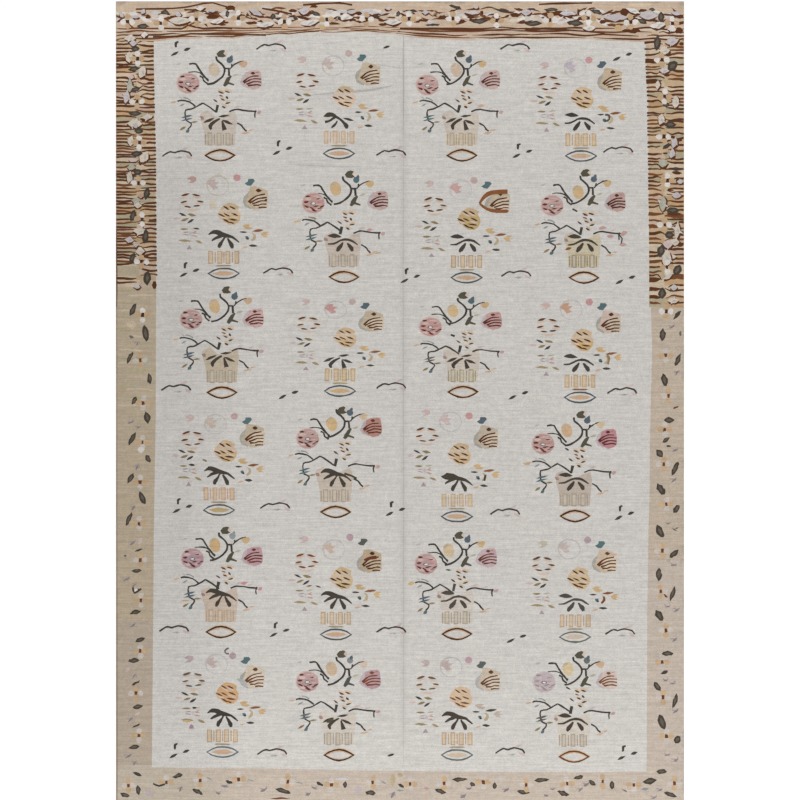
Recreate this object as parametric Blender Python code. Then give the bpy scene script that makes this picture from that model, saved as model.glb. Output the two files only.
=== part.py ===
# Room-size flat-woven wool kilim, laid out flat. It is one cloth with plain edges, so it is one closed solid.
# Metres: X runs across the rug, Y along its warps, and Z up from the floor that it lies on.

import bpy
import numpy as np

WIDTH = 2.10
LENGTH = 2.97
THICKNESS = 0.0025

# Low ridges where the cloth was folded for storage. Each runs from start to end, is highest midway
# between its feet, and rises from nothing over the fade at each end.
FOLDS = [
    {"start": (0.013, 1.400), "end": (0.013, -1.400), "height": 0.0018, "foot": 0.020, "fade": 0.300},
    {"start": (-0.333, 1.131), "end": (-0.037, 1.165), "height": 0.0014, "foot": 0.016, "fade": 0.080},
    {"start": (-0.425, 0.882), "end": (-0.222, 0.872), "height": 0.0012, "foot": 0.016, "fade": 0.070},
]

FLAT_STEP = 0.090  # spacing of the grid lines where the cloth lies flat
ALONG_STEP = 0.030  # and along a short fold
ACROSS_STEP = 0.005  # and across a fold

WOOL_COLOR = (0.640, 0.610, 0.575, 1.0)
WOOL_ROUGHNESS = 0.95


def clear_scene():
    for old in list(bpy.data.objects):
        bpy.data.objects.remove(old, do_unlink=True)


# Grid lines from one edge of the cloth to the other: evenly spaced, with closer ones inside each band.
def grid_lines(size, bands):
    half = size / 2
    lines = list(np.linspace(-half, half, round(size / FLAT_STEP) + 1))
    for low, high, step in sorted(bands, key=lambda band: -band[2]):
        lines = [line for line in lines if not low - step < line < high + step]
        lines.extend(np.linspace(low, high, round((high - low) / step) + 1))
    return np.array(sorted(lines))


# The band that a fold takes up along one axis: finely divided if the fold is narrow there.
def fold_band(fold, axis):
    low, high = sorted((fold["start"][axis], fold["end"][axis]))
    is_across = high - low < 3 * fold["foot"]
    return low - fold["foot"], high + fold["foot"], ACROSS_STEP if is_across else ALONG_STEP


# Height of the cloth's underside over the floor: across each fold (1 - d^2)^2, with d the distance
# from its line as a share of its foot, and along it a smooth step over the fade at each end.
def lift(x, y):
    height = np.zeros_like(x)
    for fold in FOLDS:
        start = np.array(fold["start"])
        run = np.array(fold["end"]) - start
        length = np.linalg.norm(run)
        along = ((x - start[0]) * run[0] + (y - start[1]) * run[1]) / length
        aside = ((x - start[0]) * run[1] - (y - start[1]) * run[0]) / length
        across = np.clip(1 - (aside / fold["foot"]) ** 2, 0, 1) ** 2
        inside = np.clip(np.minimum(along, length - along) / fold["fade"], 0, 1)
        height = np.maximum(height, fold["height"] * across * inside**2 * (3 - 2 * inside))
    return height


def wool_material():
    wool = bpy.data.materials.new("wool")
    wool.use_nodes = True
    shader = wool.node_tree.nodes["Principled BSDF"]
    shader.inputs["Base Color"].default_value = WOOL_COLOR
    shader.inputs["Roughness"].default_value = WOOL_ROUGHNESS
    shader.inputs["Metallic"].default_value = 0.0
    return wool


# The cloth's underside as a grid of quads, thickened upwards.
def make_kilim():
    columns = grid_lines(WIDTH, [fold_band(fold, 0) for fold in FOLDS])
    rows = grid_lines(LENGTH, [fold_band(fold, 1) for fold in FOLDS])

    x, y = np.meshgrid(columns, rows)
    points = np.stack([x, y, lift(x, y)], axis=-1).reshape(-1, 3)
    index = np.arange(len(points)).reshape(x.shape)
    quads = np.stack([index[:-1, :-1], index[:-1, 1:], index[1:, 1:], index[1:, :-1]], axis=-1).reshape(-1, 4)

    mesh = bpy.data.meshes.new("kilim")
    mesh.from_pydata(points.tolist(), [], quads.tolist())
    mesh.materials.append(wool_material())
    kilim = bpy.data.objects.new("kilim", mesh)
    bpy.context.scene.collection.objects.link(kilim)

    solid = kilim.modifiers.new("thickness", "SOLIDIFY")
    solid.thickness = THICKNESS
    solid.offset = 1.0


clear_scene()
make_kilim()
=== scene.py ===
import bpy
import numpy as np
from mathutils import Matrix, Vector
from mathutils.geometry import delaunay_2d_cdt


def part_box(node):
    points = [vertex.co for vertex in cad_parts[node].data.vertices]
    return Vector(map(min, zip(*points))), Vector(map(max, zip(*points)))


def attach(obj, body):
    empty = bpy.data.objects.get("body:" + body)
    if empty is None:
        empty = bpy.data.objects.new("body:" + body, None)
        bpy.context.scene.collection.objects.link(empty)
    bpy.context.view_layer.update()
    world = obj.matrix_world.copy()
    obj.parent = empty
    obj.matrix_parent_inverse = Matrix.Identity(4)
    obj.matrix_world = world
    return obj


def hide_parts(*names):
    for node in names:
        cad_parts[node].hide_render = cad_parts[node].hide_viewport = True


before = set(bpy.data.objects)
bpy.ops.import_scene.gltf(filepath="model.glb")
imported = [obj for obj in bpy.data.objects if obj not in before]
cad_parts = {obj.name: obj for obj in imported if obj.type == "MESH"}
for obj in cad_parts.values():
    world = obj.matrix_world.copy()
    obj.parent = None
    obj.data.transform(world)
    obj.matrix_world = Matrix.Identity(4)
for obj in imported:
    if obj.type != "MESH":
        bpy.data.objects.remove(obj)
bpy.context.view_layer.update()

rng = np.random.default_rng(11)

# The weaver's chart counts squares of about 3.7 mm, x to the right and y down from its upper end. The rug
# lies on the chart between these lines, and everything woven is placed in squares.
chart = {"left": 116.0, "right": 684.0, "top": 1.5}
low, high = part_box("kilim")
square = (high[0] - low[0]) / (chart["right"] - chart["left"])
chart["bottom"] = chart["top"] + (high[1] - low[1]) / square

# Wool in sRGB hex, as the faded yarns are in even light
yarns = {
    "field": "BAB6B1",
    "tanTop": "B39F8B",
    "tanLeft": "A69883",
    "tanLowLeft": "A39686",
    "tanRight": "AC9E8E",
    "tanLowRight": "AEA296",
    "tanBottom": "AEA295",
    "stripeTan": "AD9679",
    "stripeOchre": "A98C6A",
    "stripePale": "B7A68F",
    "stripeRose": "AF9A88",
    "stripeGreen": "9C9279",
    "brown": "4E2A13",
    "brownLight": "653C20",
    "brownDark": "3E2716",
    "rust": "7A4B2B",
    "maroon": "4E261D",
    "branch": "36332E",
    "charcoal": "3B3834",
    "greyDark": "5E5A55",
    "leafDark": "3D372F",
    "leafCore": "5A5045",
    "slate": "4C5860",
    "slatePale": "7D8484",
    "teal": "4B6062",
    "olive": "7C6C4C",
    "oliveDark": "4A4538",
    "gold": "B29871",
    "goldPale": "B5A186",
    "peach": "B2967C",
    "peachPale": "B9A797",
    "pink": "A88A85",
    "pinkStrong": "AC8483",
    "pinkPale": "B3A19C",
    "mauve": "948489",
    "sprigDark": "777073",
    "mauvePale": "A69A9C",
    "lavender": "ACA6A6",
    "lavenderPale": "B4B0B1",
    "white": "C4BEB8",
    "cream": "BAB0A2",
    "sage": "9C9A89",
    "greyPale": "A3A09B",
    "potTan": "958A7C",
    "potGold": "A38E75",
    "khaki": "A39478",
    "petalTan": "AA9071",
    "bloomCentre": "3C2014",
}


# sRGB hex to linear light: c / 12.92 up to 0.04045, and ((c + 0.055) / 1.055) to the power 2.4 above it
def linear(code):
    c = np.array([int(code[place:place + 2], 16) for place in (0, 2, 4)]) / 255
    return np.where(c <= 0.04045, c / 12.92, ((c + 0.055) / 1.055) ** 2.4)


# Points given along and across a line that leaves (x, y) at turn degrees, counted anticlockwise
def turned(x, y, along, across, turn):
    angle = np.radians(turn)
    right = along * np.cos(angle) - across * np.sin(angle)
    up = along * np.sin(angle) + across * np.cos(angle)
    return np.stack([x + right, y - up], axis=-1)


# Ellipse: (width / 2 cos t, height / 2 sin t)
def oval(x, y, width, height, turn=0):
    t = np.linspace(0, 2 * np.pi, 8 if max(width, height) < 7 else 14, endpoint=False)
    return turned(x, y, width / 2 * np.cos(t), height / 2 * np.sin(t), turn)


# Pointed leaf: half width (1 - |t|^full) for t from -1 to 1 along its rib, the rib arched by bend (1 - t^2)
def leaf(x, y, length, width, turn=0, bend=0, full=1.7):
    t = np.linspace(-1, 1, 5 if length < 12 else 7)
    rib = bend * (1 - t**2)
    half = width / 2 * (1 - np.abs(t) ** full)
    along = np.concatenate([t, t[-2:0:-1]]) * length / 2
    across = np.concatenate([rib + half, (rib - half)[-2:0:-1]])
    return turned(x, y, along, across, turn)


# Band along a route of chart places: each place is moved half the thickness to either side of the route.
# thick is one value, or a few that are spread along the route. Long routes are rounded between places
# by the cubic (9 (b + c) - a - d) / 16.
def line(thick, *places):
    route = np.array(places, dtype=float)
    if len(route) > 2:
        ends = np.concatenate([2 * route[:1] - route[1:2], route, 2 * route[-1:] - route[-2:-1]])
        middle = (9 * (ends[1:-2] + ends[2:-1]) - ends[:-3] - ends[3:]) / 16
        rounded = np.empty((2 * len(route) - 1, 2))
        rounded[0::2], rounded[1::2] = route, middle
        route = rounded
    step = np.gradient(route, axis=0)
    side = np.stack([step[:, 1], -step[:, 0]], axis=-1) / np.linalg.norm(step, axis=1)[:, None]
    widths = np.atleast_1d(thick)
    share = np.linspace(0, 1, len(route))
    half = np.interp(share, np.linspace(0, 1, len(widths)), widths)[:, None] / 2
    return np.concatenate([route + side * half, (route - side * half)[::-1]])


def box(left, top, right, bottom):
    return np.array([(left, top), (left, bottom), (right, bottom), (right, top)], dtype=float)


def shape(*places):
    return np.array(places, dtype=float)


outlines = {"oval": oval, "leaf": leaf, "line": line, "box": box, "shape": shape}
woven = []  # (linear colour, outline), each over the ones before it


# Takes one area of yarn into the weave, with a small change of dye lot and of hand in its outline
def weave(yarn, outline, hand=0.12, lots=0.025):
    dye = 1 + rng.normal(0, lots)
    woven.append((linear(yarns.get(yarn, yarn)) * dye, outline + rng.normal(0, hand, outline.shape)))


# Weaves rows of (outline, yarn, its sizes) around the place (x, y), with some yarns changed for others
def weaveRows(rows, x=0.0, y=0.0, swap={}):
    for kind, yarn, *sizes in rows:
        weave(swap.get(yarn, yarn), outlines[kind](*sizes) + (x, y))


# Ground of the border and the field

ground = {
    "fieldTop": [(152, 38.5), (196, 37.6), (239, 36), (290, 33.4), (341, 31.4), (372, 32), (400, 34),
                 (428, 36.8), (455, 39), (510, 38.4), (566, 38), (610, 39.4)],
    "fieldRight": [(645, 40.3), (647.5, 92), (648.7, 166), (650, 259), (650, 288), (651.9, 352), (650.6, 426),
                   (649.7, 500), (648.7, 530), (647.5, 622), (646.9, 771.6)],
    "fieldBottom": [(602, 772), (557, 772), (480, 771.6), (400, 771), (350, 770.4), (276, 768.6), (152, 767.3)],
    "fieldLeft": [(152.9, 648), (154, 526), (155.3, 419), (156.6, 284), (156, 259), (155.3, 153), (152.9, 60)],
}


creaseShadeLines = [  # painted shade of the creases, darker grey lines along the folds: thickness, yarn, then the line's places
    ((0.8, 1.6, 1.4, 0.6), "A9A5A1", (403.6, 36), (403.4, 49), (403.6, 94), (403.4, 130)),
    ((0.6, 2.6, 2.4, 0.8), "A7A29D", (308, 95.6), (332.5, 92.9), (354.8, 91.6), (372.7, 89.8), (394, 85)),
    ((0.5, 1.4, 0.5), "ACA8A4", (284, 163.9), (318, 166), (350, 166.6)),
    ((0.5, 1.2, 0.5), "ADA9A5", (376, 64), (390, 66.6), (402, 68.4)),
    ((0.5, 1.0, 1.0, 0.5), "AFABA6", (403.5, 130), (403.2, 300), (403.6, 520), (403.4, 764)),
]


def weaveGround():
    left, right, top, bottom = chart["left"], chart["right"], chart["top"], chart["bottom"]
    weave("tanLeft", box(left - 1, top - 1, right + 1, bottom + 1), hand=0, lots=0)
    weave("tanLowLeft", box(left - 1, 620, 645, bottom + 1), hand=0, lots=0)
    weave("tanRight", box(640, 290, right + 1, 560), hand=0, lots=0)
    weave("tanLowRight", box(640, 560, right + 1, bottom + 1), hand=0, lots=0)
    weave("ABA091", box(left - 1, 765, 250, bottom + 1), hand=0, lots=0)
    weave("tanBottom", shape((170, 765), (right + 1, 765), (right + 1, bottom + 1), (240, bottom + 1)), hand=0, lots=0)
    weave("tanTop", box(left - 1, top - 1, right + 1, 45), hand=0, lots=0)
    for row in range(18):  # greenish tans show in the left border below its stripes
        weave(("9D9478", "B2A48F")[row % 2], leaf(rng.uniform(124, 146), 289 + row * 6.8, rng.uniform(18, 38), 1.8,
                                                  rng.normal(0, 3), rng.uniform(-2, 2), 4), hand=0.3)
    edge = ground["fieldTop"] + ground["fieldRight"] + ground["fieldBottom"] + ground["fieldLeft"]
    weave("field", shape(*edge), hand=0.25, lots=0)
    # the darker grey lines along the folds are painted shade of the creases
    for thick, yarn, *places in creaseShadeLines:
        weave(yarn, line(thick, *places), hand=0)


# Vases of the first kind: twigs, a rose and a heart over a ladder pot. Places are squares from the middle of
# the foot, so up is negative.
twigVase = {
    "foot": [
        ("leaf", "haloPeach", 0, -0.6, 33, 14.2, 0, 0, 1.9),
        ("leaf", "footLine", 0, 0, 31.6, 12.8, 0, 0, 1.9),
        ("leaf", "peach", 0, 0.1, 26.6, 9.3, 0, 0, 1.9),
        ("leaf", "field", 0, 0.3, 23.8, 7.2, 0, 0, 1.9),
    ],
    "bowl": [
        ("shape", "bowl", (-17.6, -43), (-19, -34), (-16, -24), (-15.5, -10), (14.5, -10), (16, -24), (17, -36),
         (15.4, -44), (8, -42), (0, -37), (-6, -39.6), (-12, -45.4)),
    ],
    "stub": [("line", "leaf", (3, 2.6), (-2.2, -50.4), (-3.9, -42.7))],
    "leftBranch": [
        ("line", "branch", 1.6, (-3.8, -43.3), (-10, -47.9), (-16.5, -51.8), (-18.6, -51.6), (-23.7, -48.6),
         (-28.6, -46.4), (-34.4, -45.1), (-34.6, -39.3), (-33.4, -34.6), (-28.8, -32.2), (-29.4, -29),
         (-32.2, -26)),
        ("line", "branch", 1.6, (-24.6, -49), (-30.4, -53.4), (-38.8, -55), (-42.5, -54)),
        ("line", "leafSmall", 1.1, (-36.6, -57.6), (-32.6, -57), (-29.2, -54.6)),
        ("leaf", "peach", -46.4, -53.2, 7, 1.9, 12),
        ("leaf", "greyPale", -39, -57.5, 5, 1.4, -30),
        ("leaf", "leafSmall", -38, -50.4, 6.5, 1.7, 27),
    ],
    "crossTip": [
        ("leaf", "cross", -33.2, -38.9, 12.8, 2.1, 14),
        ("leaf", "cross", -33.4, -35.9, 12.8, 2, 14),
    ],
    "tips": [
        ("leaf", "oliveTip", -25.5, -33.4, 8, 1.8, 5),
        ("leaf", "oliveTip", -37.3, -26.9, 7.5, 2.4, 32),
        ("leaf", "teal", -32.4, -24.4, 5, 3.4, 35),
    ],
    "blot": [
        ("leaf", "pinkPale", -18.6, -40.3, 6, 2.5, 75),
        ("leaf", "blot", -18, -37.5, 5, 3.6, -30),
    ],
    "rightBranch": [
        ("line", "branch", 1.6, (9.4, -43.6), (13.6, -45.4), (18.3, -46), (28.1, -44.4), (36, -44)),
        ("line", "branch", (2, 1.1), (36.2, -44.8), (34.8, -42), (35.2, -37.5)),
        ("leaf", "pinkPale", 18, -48.7, 8, 2.2, 15),
        ("leaf", "pinkPale", 28.6, -47, 6, 1.5, 20),
        ("leaf", "pink", 39, -43.2, 5.5, 3.6, 25),
    ],
    "lowTwig": [
        ("line", "branch", 1.6, (17, -32.4), (21.6, -29.8), (24, -26.4), (26.6, -24.2)),
        ("leaf", "peachTip", 25.6, -22.4, 9, 2.2, 10),
        ("leaf", "peachTip", 30.8, -25.2, 7, 1.5, 10),
    ],
    "berry": [
        ("leaf", "berryHalo", 1.4, -64.4, 8, 3, -24),
        ("leaf", "berryHalo", 8, -64.8, 8, 3, -18),
        ("leaf", "berryHalo", 2.8, -56.8, 7.4, 3, -22),
        ("leaf", "berryHalo", 8.6, -54, 8, 2.8, 15),
        ("leaf", "berryHalo", 4.4, -49.8, 8, 2.8, -26),
        ("leaf", "berry", 1, -63, 6.4, 1.9, -24),
        ("leaf", "berry", 7.2, -63.6, 6.4, 1.8, -18),
        ("leaf", "berry", -4.4, -54.6, 6, 1.8, -36),
        ("leaf", "berry", 1, -59.6, 5, 1.4, -20),
        ("leaf", "berryRed", 2.6, -55.9, 5.4, 1.6, -20),
        ("leaf", "leaf", 7, -57.8, 4, 2.4, -50),
        ("leaf", "leaf", 8, -52.4, 6, 1.7, 14),
        ("leaf", "leaf", 3.8, -48.3, 5, 2, -28),
    ],
    "upperBranch": [
        ("line", "branch", 2, (-12.6, -71), (-6.7, -72.2), (0, -76.6), (4, -81.4), (4.7, -87), (1, -92),
         (-3.2, -95.4), (-3.7, -99)),
        ("line", "branch", 1.7, (4.5, -86.8), (9.6, -86.6)),
        ("line", "branch", 2, (8.7, -86.4), (9.2, -79.4)),
        ("line", "branch", (1.3, 1.4, 1), (10, -86.4), (11.8, -88.6), (14.4, -90.8), (19.2, -93.4), (23.7, -94.2)),
        ("line", "branch", (1.4, 1.6), (11.6, -88), (12.2, -91.6)),
    ],
    "hook": [
        ("shape", "hook", (-3.6, -101.4), (-1, -104.6), (3, -105.6), (5.4, -104.6), (3.6, -101.8), (6.4, -99.2),
         (3, -98), (-1.8, -98.2)),
        ("shape", "hookInside", (7.6, -104.8), (4.4, -103.2), (4.2, -101.4), (7.4, -99.6), (6.4, -102.2)),
    ],
    "buds": [
        ("oval", "bud", 9.8, -95.4, 6.8, 6.6),
        ("leaf", "budTip", 11.2, -98.2, 5, 3.4, 70),
        ("shape", "goldBud", (18.4, -91.6), (21, -93.4), (25.4, -94.6), (27.6, -93), (26.8, -90), (24.6, -87.8),
         (22, -88)),
    ],
    "boot": [
        ("line", "boot", (1.6, 3.8, 4.4, 2.6), (11.2, -79.4), (8.4, -76.4), (6.4, -72.6), (4, -69.4)),
        ("line", "boot", (2.6, 1.4), (8, -72.4), (14.2, -70.4)),
        ("leaf", "sage", 15.6, -80.4, 7, 2.2, 15),
    ],
    "leftTwigs": [
        ("line", "branch", 1.8, (-11.6, -74.4), (-15, -78.4), (-18.6, -83), (-21.6, -87.6), (-24, -91.2),
         (-27.4, -91.8), (-31, -91.2)),
        ("line", "branch", (1, 1.2, 1.2, 1.6), (-31.8, -83), (-25.4, -83.6), (-19.6, -82.2), (-15, -77.8),
         (-11.4, -75.4)),
        ("line", "branch", 1.7, (-20.4, -79.6), (-17.4, -78), (-16.4, -74.8), (-12.4, -71.6)),
        ("leaf", "greyPale", -41, -91.6, 6, 2, 15),
    ],
    "paleFlower": [
        ("oval", "paleFlower", -5.8, -85.6, 11, 14.5, 15),
        ("leaf", "paleFlowerEdge", -8.6, -90, 8, 3, 35),
    ],
}

# The dark leaves over each pot, in four forms
leafForms = {
    "loose": [
        ("leaf", "leaf", 3.8, -39.4, 12, 2.5, 7),
        ("leaf", "leaf", -11, -35, 12.5, 3, 24),
        ("line", "leaf", (1.8, 4, 3, 1.6), (-8.6, -25.8), (-9.8, -29.2), (-6, -33.4), (0, -36.8)),
        ("line", "leaf", (4.8, 3.6, 1.6), (4.6, -25.4), (3.6, -29), (1.9, -34.6)),
        ("leaf", "leaf", 7.4, -33.2, 12.5, 3, -22),
    ],
    "curved": [
        ("line", "leaf", (0.6, 4.6, 4.4, 2.4, 2.2, 3, 4.8, 2), (-15.4, -37.2), (-11.4, -38.6), (-7, -38.8),
         (-2.6, -36.6), (1.6, -34), (5, -30.6), (7.4, -27.4), (7.6, -24.8)),
        ("line", "leaf", (2.4, 2.2, 2.6, 1.6), (-14, -31.6), (-9.6, -32.4), (-6.6, -34.6), (-2.6, -37)),
        ("line", "leaf", (1.4, 3, 2, 1.2), (-7.6, -25.6), (-5.4, -27.6), (-3, -30), (-1.8, -33)),
        ("leaf", "leaf", 9.2, -34.2, 11.8, 2.7, -15),
    ],
    "spread": [
        ("leaf", "leaf", -9.4, -40.4, 14.5, 4.6, -4, 0.8),
        ("line", "leaf", (1.2, 2, 2, 2.6, 2.4, 1.2), (-16.4, -32.8), (-10.4, -33.2), (-3.6, -36.6), (1.6, -37.6),
         (7.4, -36.4), (13.8, -32)),
        ("line", "leaf", (1.6, 3.8, 4.2, 2.2), (-0.8, -34.6), (-3.2, -31), (-5.6, -28), (-7.4, -25.6)),
        ("line", "leaf", (1.6, 3.4, 4.4, 2.6), (3.2, -34), (5.4, -31.4), (7.6, -28.6), (8.4, -25.8)),
    ],
    "joined": [
        ("line", "leaf", (1, 4, 5, 4.4, 2.6, 1.2), (-15, -39), (-10, -41.6), (-4.6, -40.4), (1.2, -38),
         (8.6, -36.4), (15.6, -31)),
        ("line", "leaf", (1.4, 3, 3.4), (-12, -32.8), (-7.4, -35.6), (-1, -38.2)),
        ("line", "leaf", (1.6, 2, 4, 3.6, 2), (1.2, -36.6), (-0.8, -33), (-3.4, -29.4), (-4.4, -27), (-4.8, -25.4)),
        ("line", "leaf", (1.6, 3, 4.4, 2.2), (3.8, -35.4), (5.8, -31.8), (8, -28), (8.6, -25)),
    ],
}

# The rose at the left and the heart at the right, in squares from their own middles
rose = [
    ("oval", "rosePale", 0, 0, 23.5, 21.5),
    ("oval", "rose", 0.4, 0.4, 22, 20),
    ("leaf", "rosePale", -5, -4, 8, 3.4, 0),
    ("leaf", "rosePale", 6.4, -4.6, 7, 2.6, -10),
    ("leaf", "rosePale", -4.6, 5.8, 8, 2.4, -25),
    ("leaf", "rosePale", 5.4, 5.6, 8, 2.2, 18),
    ("leaf", "roseDash", -5.4, -6.9, 5.4, 1.5, 0),
    ("leaf", "roseDashSoft", 5.4, -4.2, 6, 1.1, 8),
    ("leaf", "roseDash", -7, -0.6, 5.4, 1.7, 0),
    ("leaf", "roseDashSoft", 5.2, -0.6, 7, 1.1, 0),
    ("leaf", "roseDash", -6.8, 3.8, 6, 1.7, -30),
    ("leaf", "roseDash", 2.6, 3.2, 7, 1.5, 15),
    ("leaf", "roseDash", 9, 3.4, 6, 1.6, 22),
    ("leaf", "roseDash", -1.2, 5.4, 6, 1.6, -30),
    ("leaf", "roseDash", 1, 7.8, 6, 1.6, -20),
    ("oval", "roseRing", 0.1, 0.6, 5.6, 3.6),
    ("oval", "white", 0.2, 0.6, 3.8, 2.1),
    ("leaf", "rosePale", 3, -6.8, 10, 1.2, 4),
    ("leaf", "rosePale", -4.6, 7, 9, 1.2, -10),
    ("leaf", "rosePale", 5.4, 1.6, 8, 1.1, 10),
    ("leaf", "roseDash", -5.6, -6.2, 5, 1.3, 0),
    ("leaf", "roseDash", 5.2, -4.2, 5, 1.2, 4),
    ("leaf", "roseDash", -7, -1.2, 5.4, 1.2, 4),
    ("leaf", "roseDash", -6.4, 3.4, 6, 1.2, -16),
    ("leaf", "roseDash", 0.6, 7.2, 6, 1.2, -6),
    ("leaf", "roseDash", 6.4, 5.4, 5, 1.2, 10),
]
heart = [
    ("shape", "heartShade", (-12.6, 2), (-10, -4.4), (-6.4, -8.4), (-1, -9.6), (0, 4), (-4, 8.4), (-10, 6)),
    ("shape", "heart", (-10.4, 3), (-7, -3), (-6.4, -7.4), (-2, -9.8), (6, -10.4), (8, -8.6), (9, -2), (9.2, 4.6),
     (6, 8), (0, 9.4), (-5, 7)),
    ("line", "heartStripe", (1.9, 1.3, 1.2), (-9.6, 1.8), (-5, -2), (0, -4.2), (6, -4.4)),
    ("line", "heartStripe", (1.8, 1.3, 1.2), (-8.6, 2.6), (-3.4, -0.2), (2, -1.6), (8.8, -1.2)),
    ("line", "heartStripe", (1.8, 1.3, 1.2), (-6, 4), (-1, 1.8), (3, 1.2), (8.8, 1.9)),
    ("line", "heartStripe", (1.8, 1.4, 1.2), (-4.6, 5.2), (0, 4.8), (4, 4.2), (8.4, 5.2)),
    ("leaf", "heartStripe", 0.2, -7.2, 5, 3, 0),
    ("leaf", "roseDashSoft", 4.4, -8, 5, 1.2, 10),
]
twigYarns = {
    "footLine": "3A2312", "haloPeach": "BCA893", "bowl": "B6ACA1", "leaf": "leafDark", "leafSmall": "slatePale",
    "cross": "slate", "oliveTip": "olive", "blot": "8C756B", "peachTip": "peach", "berryHalo": "BBA78F",
    "berry": "5A371E", "berryRed": "maroon", "hook": "oliveDark", "hookInside": "peachPale", "bud": "slate",
    "budTip": "slate", "goldBud": "peach", "boot": "oliveDark", "paleFlower": "B3A593",
    "paleFlowerEdge": "A59884", "pot": "potTan", "potFill": "AFA595",
    "rose": "pink", "rosePale": "B5A09A", "roseDash": "maroon", "roseDashSoft": "966E69", "roseRing": "teal",
    "heart": "B09994", "heartShade": "A69C9E", "heartStripe": "maroon",
}

# Vases of the second kind: loose petals, a fruit and a striped heart over a filled pot
fruitVase = {
    "foot": [
        ("leaf", "footLine", 0, 0, 33, 12, 0, 0, 2.3),
        ("leaf", "field", 0, 0, 28.8, 8.6, 0, 0, 2.3),
        ("leaf", "footFill", 0, 0, 22, 4.8, 0, 0, 2.2),
    ],
    "bar": [("leaf", "footBar", 0, -7.8, 17, 1.7, 0, 0, 6)],
    "petals": [
        ("leaf", "charcoal", -41, -58.9, 8.6, 2.3, -24),
        ("leaf", "olive", -31.8, -58.6, 9.4, 2.8, -12),
        ("leaf", "olive", -38.8, -53.8, 8.6, 2.6, 18),
        ("leaf", "charcoal", -33, -52.4, 8.4, 2.6, 33),
        ("leaf", "pinkPale", -47.4, -54.9, 8, 2.8, 0),
    ],
    "lowLeft": [
        ("leaf", "olive", -39.5, -44.4, 9, 1.9, 0),
        ("leaf", "sage", -29.4, -44.8, 8, 1.6, 8),
        ("leaf", "mauve", -37.8, -41.2, 7, 1.2, 8),
        ("leaf", "mauve", -37.8, -38.8, 7, 1.2, -8),
        ("leaf", "lavender", -33.4, -39.8, 3, 5, 0),
        ("leaf", "rowMauve", -29.2, -40.6, 6.4, 1.4, -12),
        ("leaf", "rowMauve", -29, -37.4, 7, 1.8, -12),
        ("leaf", "rowMauve", -28.4, -42, 4, 1.2, 30),
        ("leaf", "oliveLight", -38.8, -32.4, 14, 2.5, -3, 0.5),
        ("leaf", "oliveLight", -24.8, -31.6, 8.4, 2.6, -22),
        ("shape", "mauve", (-34.4, -28.6), (-37.2, -24.2), (-31.6, -24.2)),
    ],
    "sprays": [
        ("shape", "gold", (18.6, -48), (22, -49.4), (27.6, -49), (24.8, -47.2), (29.6, -45.6), (26, -43.8),
         (21.4, -44.6)),
        ("leaf", "charcoal", 19.6, -41.4, 8, 1.9, 0),
        ("leaf", "rust", 34.4, -42.9, 12, 2.6, 6),
        ("shape", "gold", (36.8, -39.2), (40.6, -42), (45.6, -41.8), (42.2, -39.6), (46.4, -39), (42.4, -37.8),
         (44.6, -36.2), (40, -36)),
        ("line", "khaki", (1, 3, 2), (28.2, -40.6), (31, -38), (30, -34.4), (27.6, -33)),
        ("leaf", "teal", 23.4, -35.8, 4.6, 3.6, -35),
        ("leaf", "charcoal", 24.2, -34.8, 3, 2.2, 0),
        ("leaf", "peachTip", 21.6, -26.2, 7, 1.8, 12),
        ("leaf", "charcoal", 29.5, -27.8, 9, 2.6, -4),
    ],
    "paleFlower": [
        ("oval", "fieldShade", -6, -88, 23, 21),
        ("oval", "field", -5.6, -87.6, 20.5, 18.5),
        ("shape", "paleFlower", (-17.6, -90), (-13, -94), (-8, -95), (-9, -91.6), (-4, -91.4), (-8, -88),
         (-5, -85.6), (-10, -83.6), (-13, -87.2)),
    ],
    "topPetal": [
        ("shape", "topPetal", (-42.4, -94.8), (-37.4, -97.4), (-33, -96.4), (-32.6, -93), (-36, -90.6),
         (-41, -90.2), (-37.6, -92.8)),
    ],
    "buds": [
        ("oval", "roundBud", 9.8, -100.2, 7.2, 7),
        ("shape", "bud", (17.4, -94.4), (20.4, -96.4), (21, -99), (26, -99), (27.6, -97), (25.4, -94.4),
         (23.6, -92), (20, -92.4)),
    ],
}
ring = [
    ("leaf", "haloPeach", -6.6, -3.6, 10, 3, 14),
    ("leaf", "haloPeach", 4.4, -3.2, 10, 2.8, -12),
    ("leaf", "haloPeach", -7.8, 3.4, 9, 2.4, 8),
    ("leaf", "haloPeach", 7.8, 3.4, 9, 2.4, -8),
    ("leaf", "haloPeach", 0, 8.6, 16, 2.4, 0, -1.5),
    ("leaf", "ringDash", -6.7, -5.6, 9.4, 2.2, 18, 0, 2.4),
    ("leaf", "ringDash", 4.4, -5.1, 9.4, 2.1, -12, 0, 2.4),
    ("leaf", "ringDash", -8, 1.6, 7.6, 1.9, 12, 0, 2.4),
    ("leaf", "ringDash", 8.4, 1.2, 7.4, 1.9, -10, 0, 2.4),
    ("leaf", "ringDash", -4.4, 6.4, 7.8, 1.8, -8, 0, 2.4),
    ("leaf", "ringDash", 4.6, 5.6, 7.6, 1.8, 6, 0, 2.4),
]
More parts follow.
